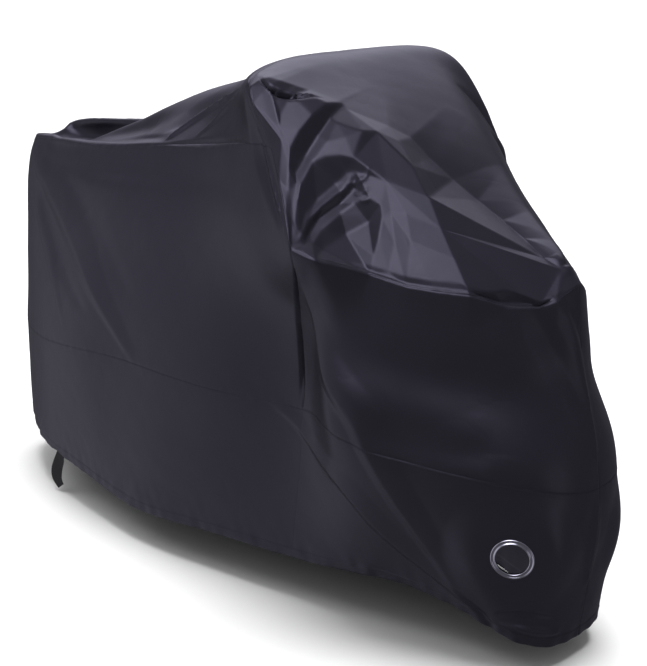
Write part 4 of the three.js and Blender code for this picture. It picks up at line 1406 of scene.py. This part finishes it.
def studio_floor():
    """A plain pale floor, not mirrored in the cloth."""
    mesh = bpy.data.meshes.new("floor")
    corners = [(-1, -1), (1, -1), (1, 1), (-1, 1)]
    mesh.from_pydata([(x * FLOOR_REACH, y * FLOOR_REACH, GROUND) for x, y in corners], [], [(0, 1, 2, 3)])
    made, tree, shader = new_material("floor")
    feed(tree, shader, {"Base Color": FLOOR_TONE, "Roughness": FLOOR_ROUGHNESS})
    mesh.materials.append(made)
    floor = link_piece("floor", mesh)
    floor.visible_glossy = False


def studio_lamps(settings):
    for name, direction, degrees, strength in LAMPS:
        lamp = bpy.data.lights.new(name, "SUN")
        lamp.energy = strength * settings.lamps
        lamp.angle = math.radians(degrees)
        sun = bpy.data.objects.new(name, lamp)
        sun.rotation_euler = Vector(direction).to_track_quat("Z", "Y").to_euler()
        sun.visible_glossy = False
        bpy.context.scene.collection.objects.link(sun)


def photo_camera():
    """The camera that the photo's outline fits."""
    lens = bpy.data.cameras.new("camera")
    lens.sensor_width = 36
    lens.lens = CAMERA_LENS
    lens.clip_end = 2 * FLOOR_REACH
    camera = bpy.data.objects.new("camera", lens)
    heading = math.radians(CAMERA_HEADING)
    down = math.radians(CAMERA_DOWN)
    look = Vector((math.cos(heading) * math.cos(down), math.sin(heading) * math.cos(down), -math.sin(down)))
    x, y, z = CAMERA_PLACE
    camera.location = (x - ORIGIN_FORWARD * MM, y, z + GROUND)
    camera.rotation_euler = look.to_track_quat("-Z", "Y").to_euler()
    bpy.context.scene.collection.objects.link(camera)
    bpy.context.scene.camera = camera


def measure(name, description, millimetres):
    return FloatProperty(
        name=name, description=description, default=millimetres * MM, unit="LENGTH", precision=5
    )


class ClothSettings(bpy.types.PropertyGroup):
    """Sizes that all cloth panels share."""

    thickness: measure("Thickness", "Thickness of the coated cloth", 1.0)
    lap_depth: measure("Lap depth", "How far a lapped edge dips under its neighbour", 1.2)
    lip_height: measure("Lip height", "How far the upper edge of a lap stands up", 0.5)
    roll_depth: measure("Roll depth", "How far the edge of a lap turns down", 1.1)
    pucker_height: measure("Pucker height", "Height of the small waves along the seams", 0.32)
    gather_height: measure("Gather height", "Height of the waves that the elastic makes at the hem", 1.3)
    hem_step: measure("Hem step", "How much thicker the folded hem is", 0.8)
    swell_height: measure("Swell height", "Height of the cloth's broad unevenness", 1.3)


class EyeletSettings(bpy.types.PropertyGroup):
    """How finely the metal rings are turned."""

    segments: IntProperty(name="Segments", description="Steps round each ring", default=96, min=16)


class StrapSettings(bpy.types.PropertyGroup):
    """Sizes of the webbing."""

    width: measure("Width", "Width of the webbing", 38)
    thickness: measure("Thickness", "Thickness of the webbing", 1.8)


class StitchSettings(bpy.types.PropertyGroup):
    """Sizes of the sewing."""

    spacing: measure("Spacing", "From one stitch to the next", 4)
    length: measure("Length", "Length of one stitch", 3.1)
    thickness: measure("Thickness", "Thickness of the thread", 0.5)
    seed: IntProperty(name="Seed", description="Seed of the stitches' unevenness", default=4)


class StageSettings(bpy.types.PropertyGroup):
    """Strengths of the studio light."""

    fill: FloatProperty(name="Fill", description="Even light from all round", default=0.28)
    dim: FloatProperty(name="Dim", description="Light mirrored from all round", default=0.12)
    bright: FloatProperty(name="Bright", description="Strength of all mirrored soft lights", default=1.0)
    lamps: FloatProperty(name="Lamps", description="Strength of all lamps together", default=1.0)


class COVER_OT_cloth(bpy.types.Operator):
    """Make the ten cloth panels of the cover"""

    bl_idname = "cover.cloth"
    bl_label = "Cloth Panels"

    def execute(self, context):
        for node in PANELS:
            piece = cloth_panel(node, context.scene.cover_cloth)
        return {"FINISHED"}


class COVER_OT_eyelets(bpy.types.Operator):
    """Make the two rolled metal eyelets"""

    bl_idname = "cover.eyelets"
    bl_label = "Eyelets"

    def execute(self, context):
        for node in EYELET_NODES:
            eyelet_ring(node, context.scene.cover_eyelets)
        return {"FINISHED"}


class COVER_OT_strap(bpy.types.Operator):
    """Make the webbing strap at the rear hem"""

    bl_idname = "cover.strap"
    bl_label = "Hem Strap"

    def execute(self, context):
        hem_strap(context.scene.cover_strap)
        return {"FINISHED"}


class COVER_OT_stitches(bpy.types.Operator):
    """Sew the seams and the hem"""

    bl_idname = "cover.stitches"
    bl_label = "Stitches"

    def execute(self, context):
        stitches(context.scene.cover_cloth, context.scene.cover_stitches)
        return {"FINISHED"}


class COVER_OT_stage(bpy.types.Operator):
    """Set up the floor, light and camera"""

    bl_idname = "cover.stage"
    bl_label = "Stage"

    def execute(self, context):
        settings = context.scene.cover_stage
        studio_floor()
        context.scene.world = studio_world(settings)
        studio_lamps(settings)
        context.scene.view_settings.view_transform = "Standard"
        photo_camera()
        return {"FINISHED"}


class COVER_PT_panel(bpy.types.Panel):
    """Buttons and sizes of the cover"""

    bl_idname = "COVER_PT_panel"
    bl_label = "Motorcycle Cover"
    bl_space_type = "VIEW_3D"
    bl_region_type = "UI"
    bl_category = "Cover"

    def draw(self, context):
        for step in SETTINGS:
            box = self.layout.box()
            box.operator("cover." + step)
            settings = getattr(context.scene, "cover_" + step)
            for name in settings.__annotations__:
                box.prop(settings, name)


# The settings of each operator, in the order in which the operators run.
SETTINGS = {
    "cloth": ClothSettings, "eyelets": EyeletSettings, "strap": StrapSettings,
    "stitches": StitchSettings, "stage": StageSettings,
}
CLASSES = (
    *SETTINGS.values(),
    COVER_OT_cloth, COVER_OT_eyelets, COVER_OT_strap, COVER_OT_stitches, COVER_OT_stage, COVER_PT_panel,
)


def register():
    for made in CLASSES:
        bpy.utils.register_class(made)
    for step, group in SETTINGS.items():
        setattr(bpy.types.Scene, "cover_" + step, PointerProperty(type=group))


def unregister():
    for step in SETTINGS:
        delattr(bpy.types.Scene, "cover_" + step)
    for made in reversed(CLASSES):
        bpy.utils.unregister_class(made)


def main():
    register()
    bpy.ops.cover.cloth()
    bpy.ops.cover.eyelets()
    bpy.ops.cover.strap()
    bpy.ops.cover.stitches()
    bpy.ops.cover.stage()


if __name__ == "__main__":
    main()
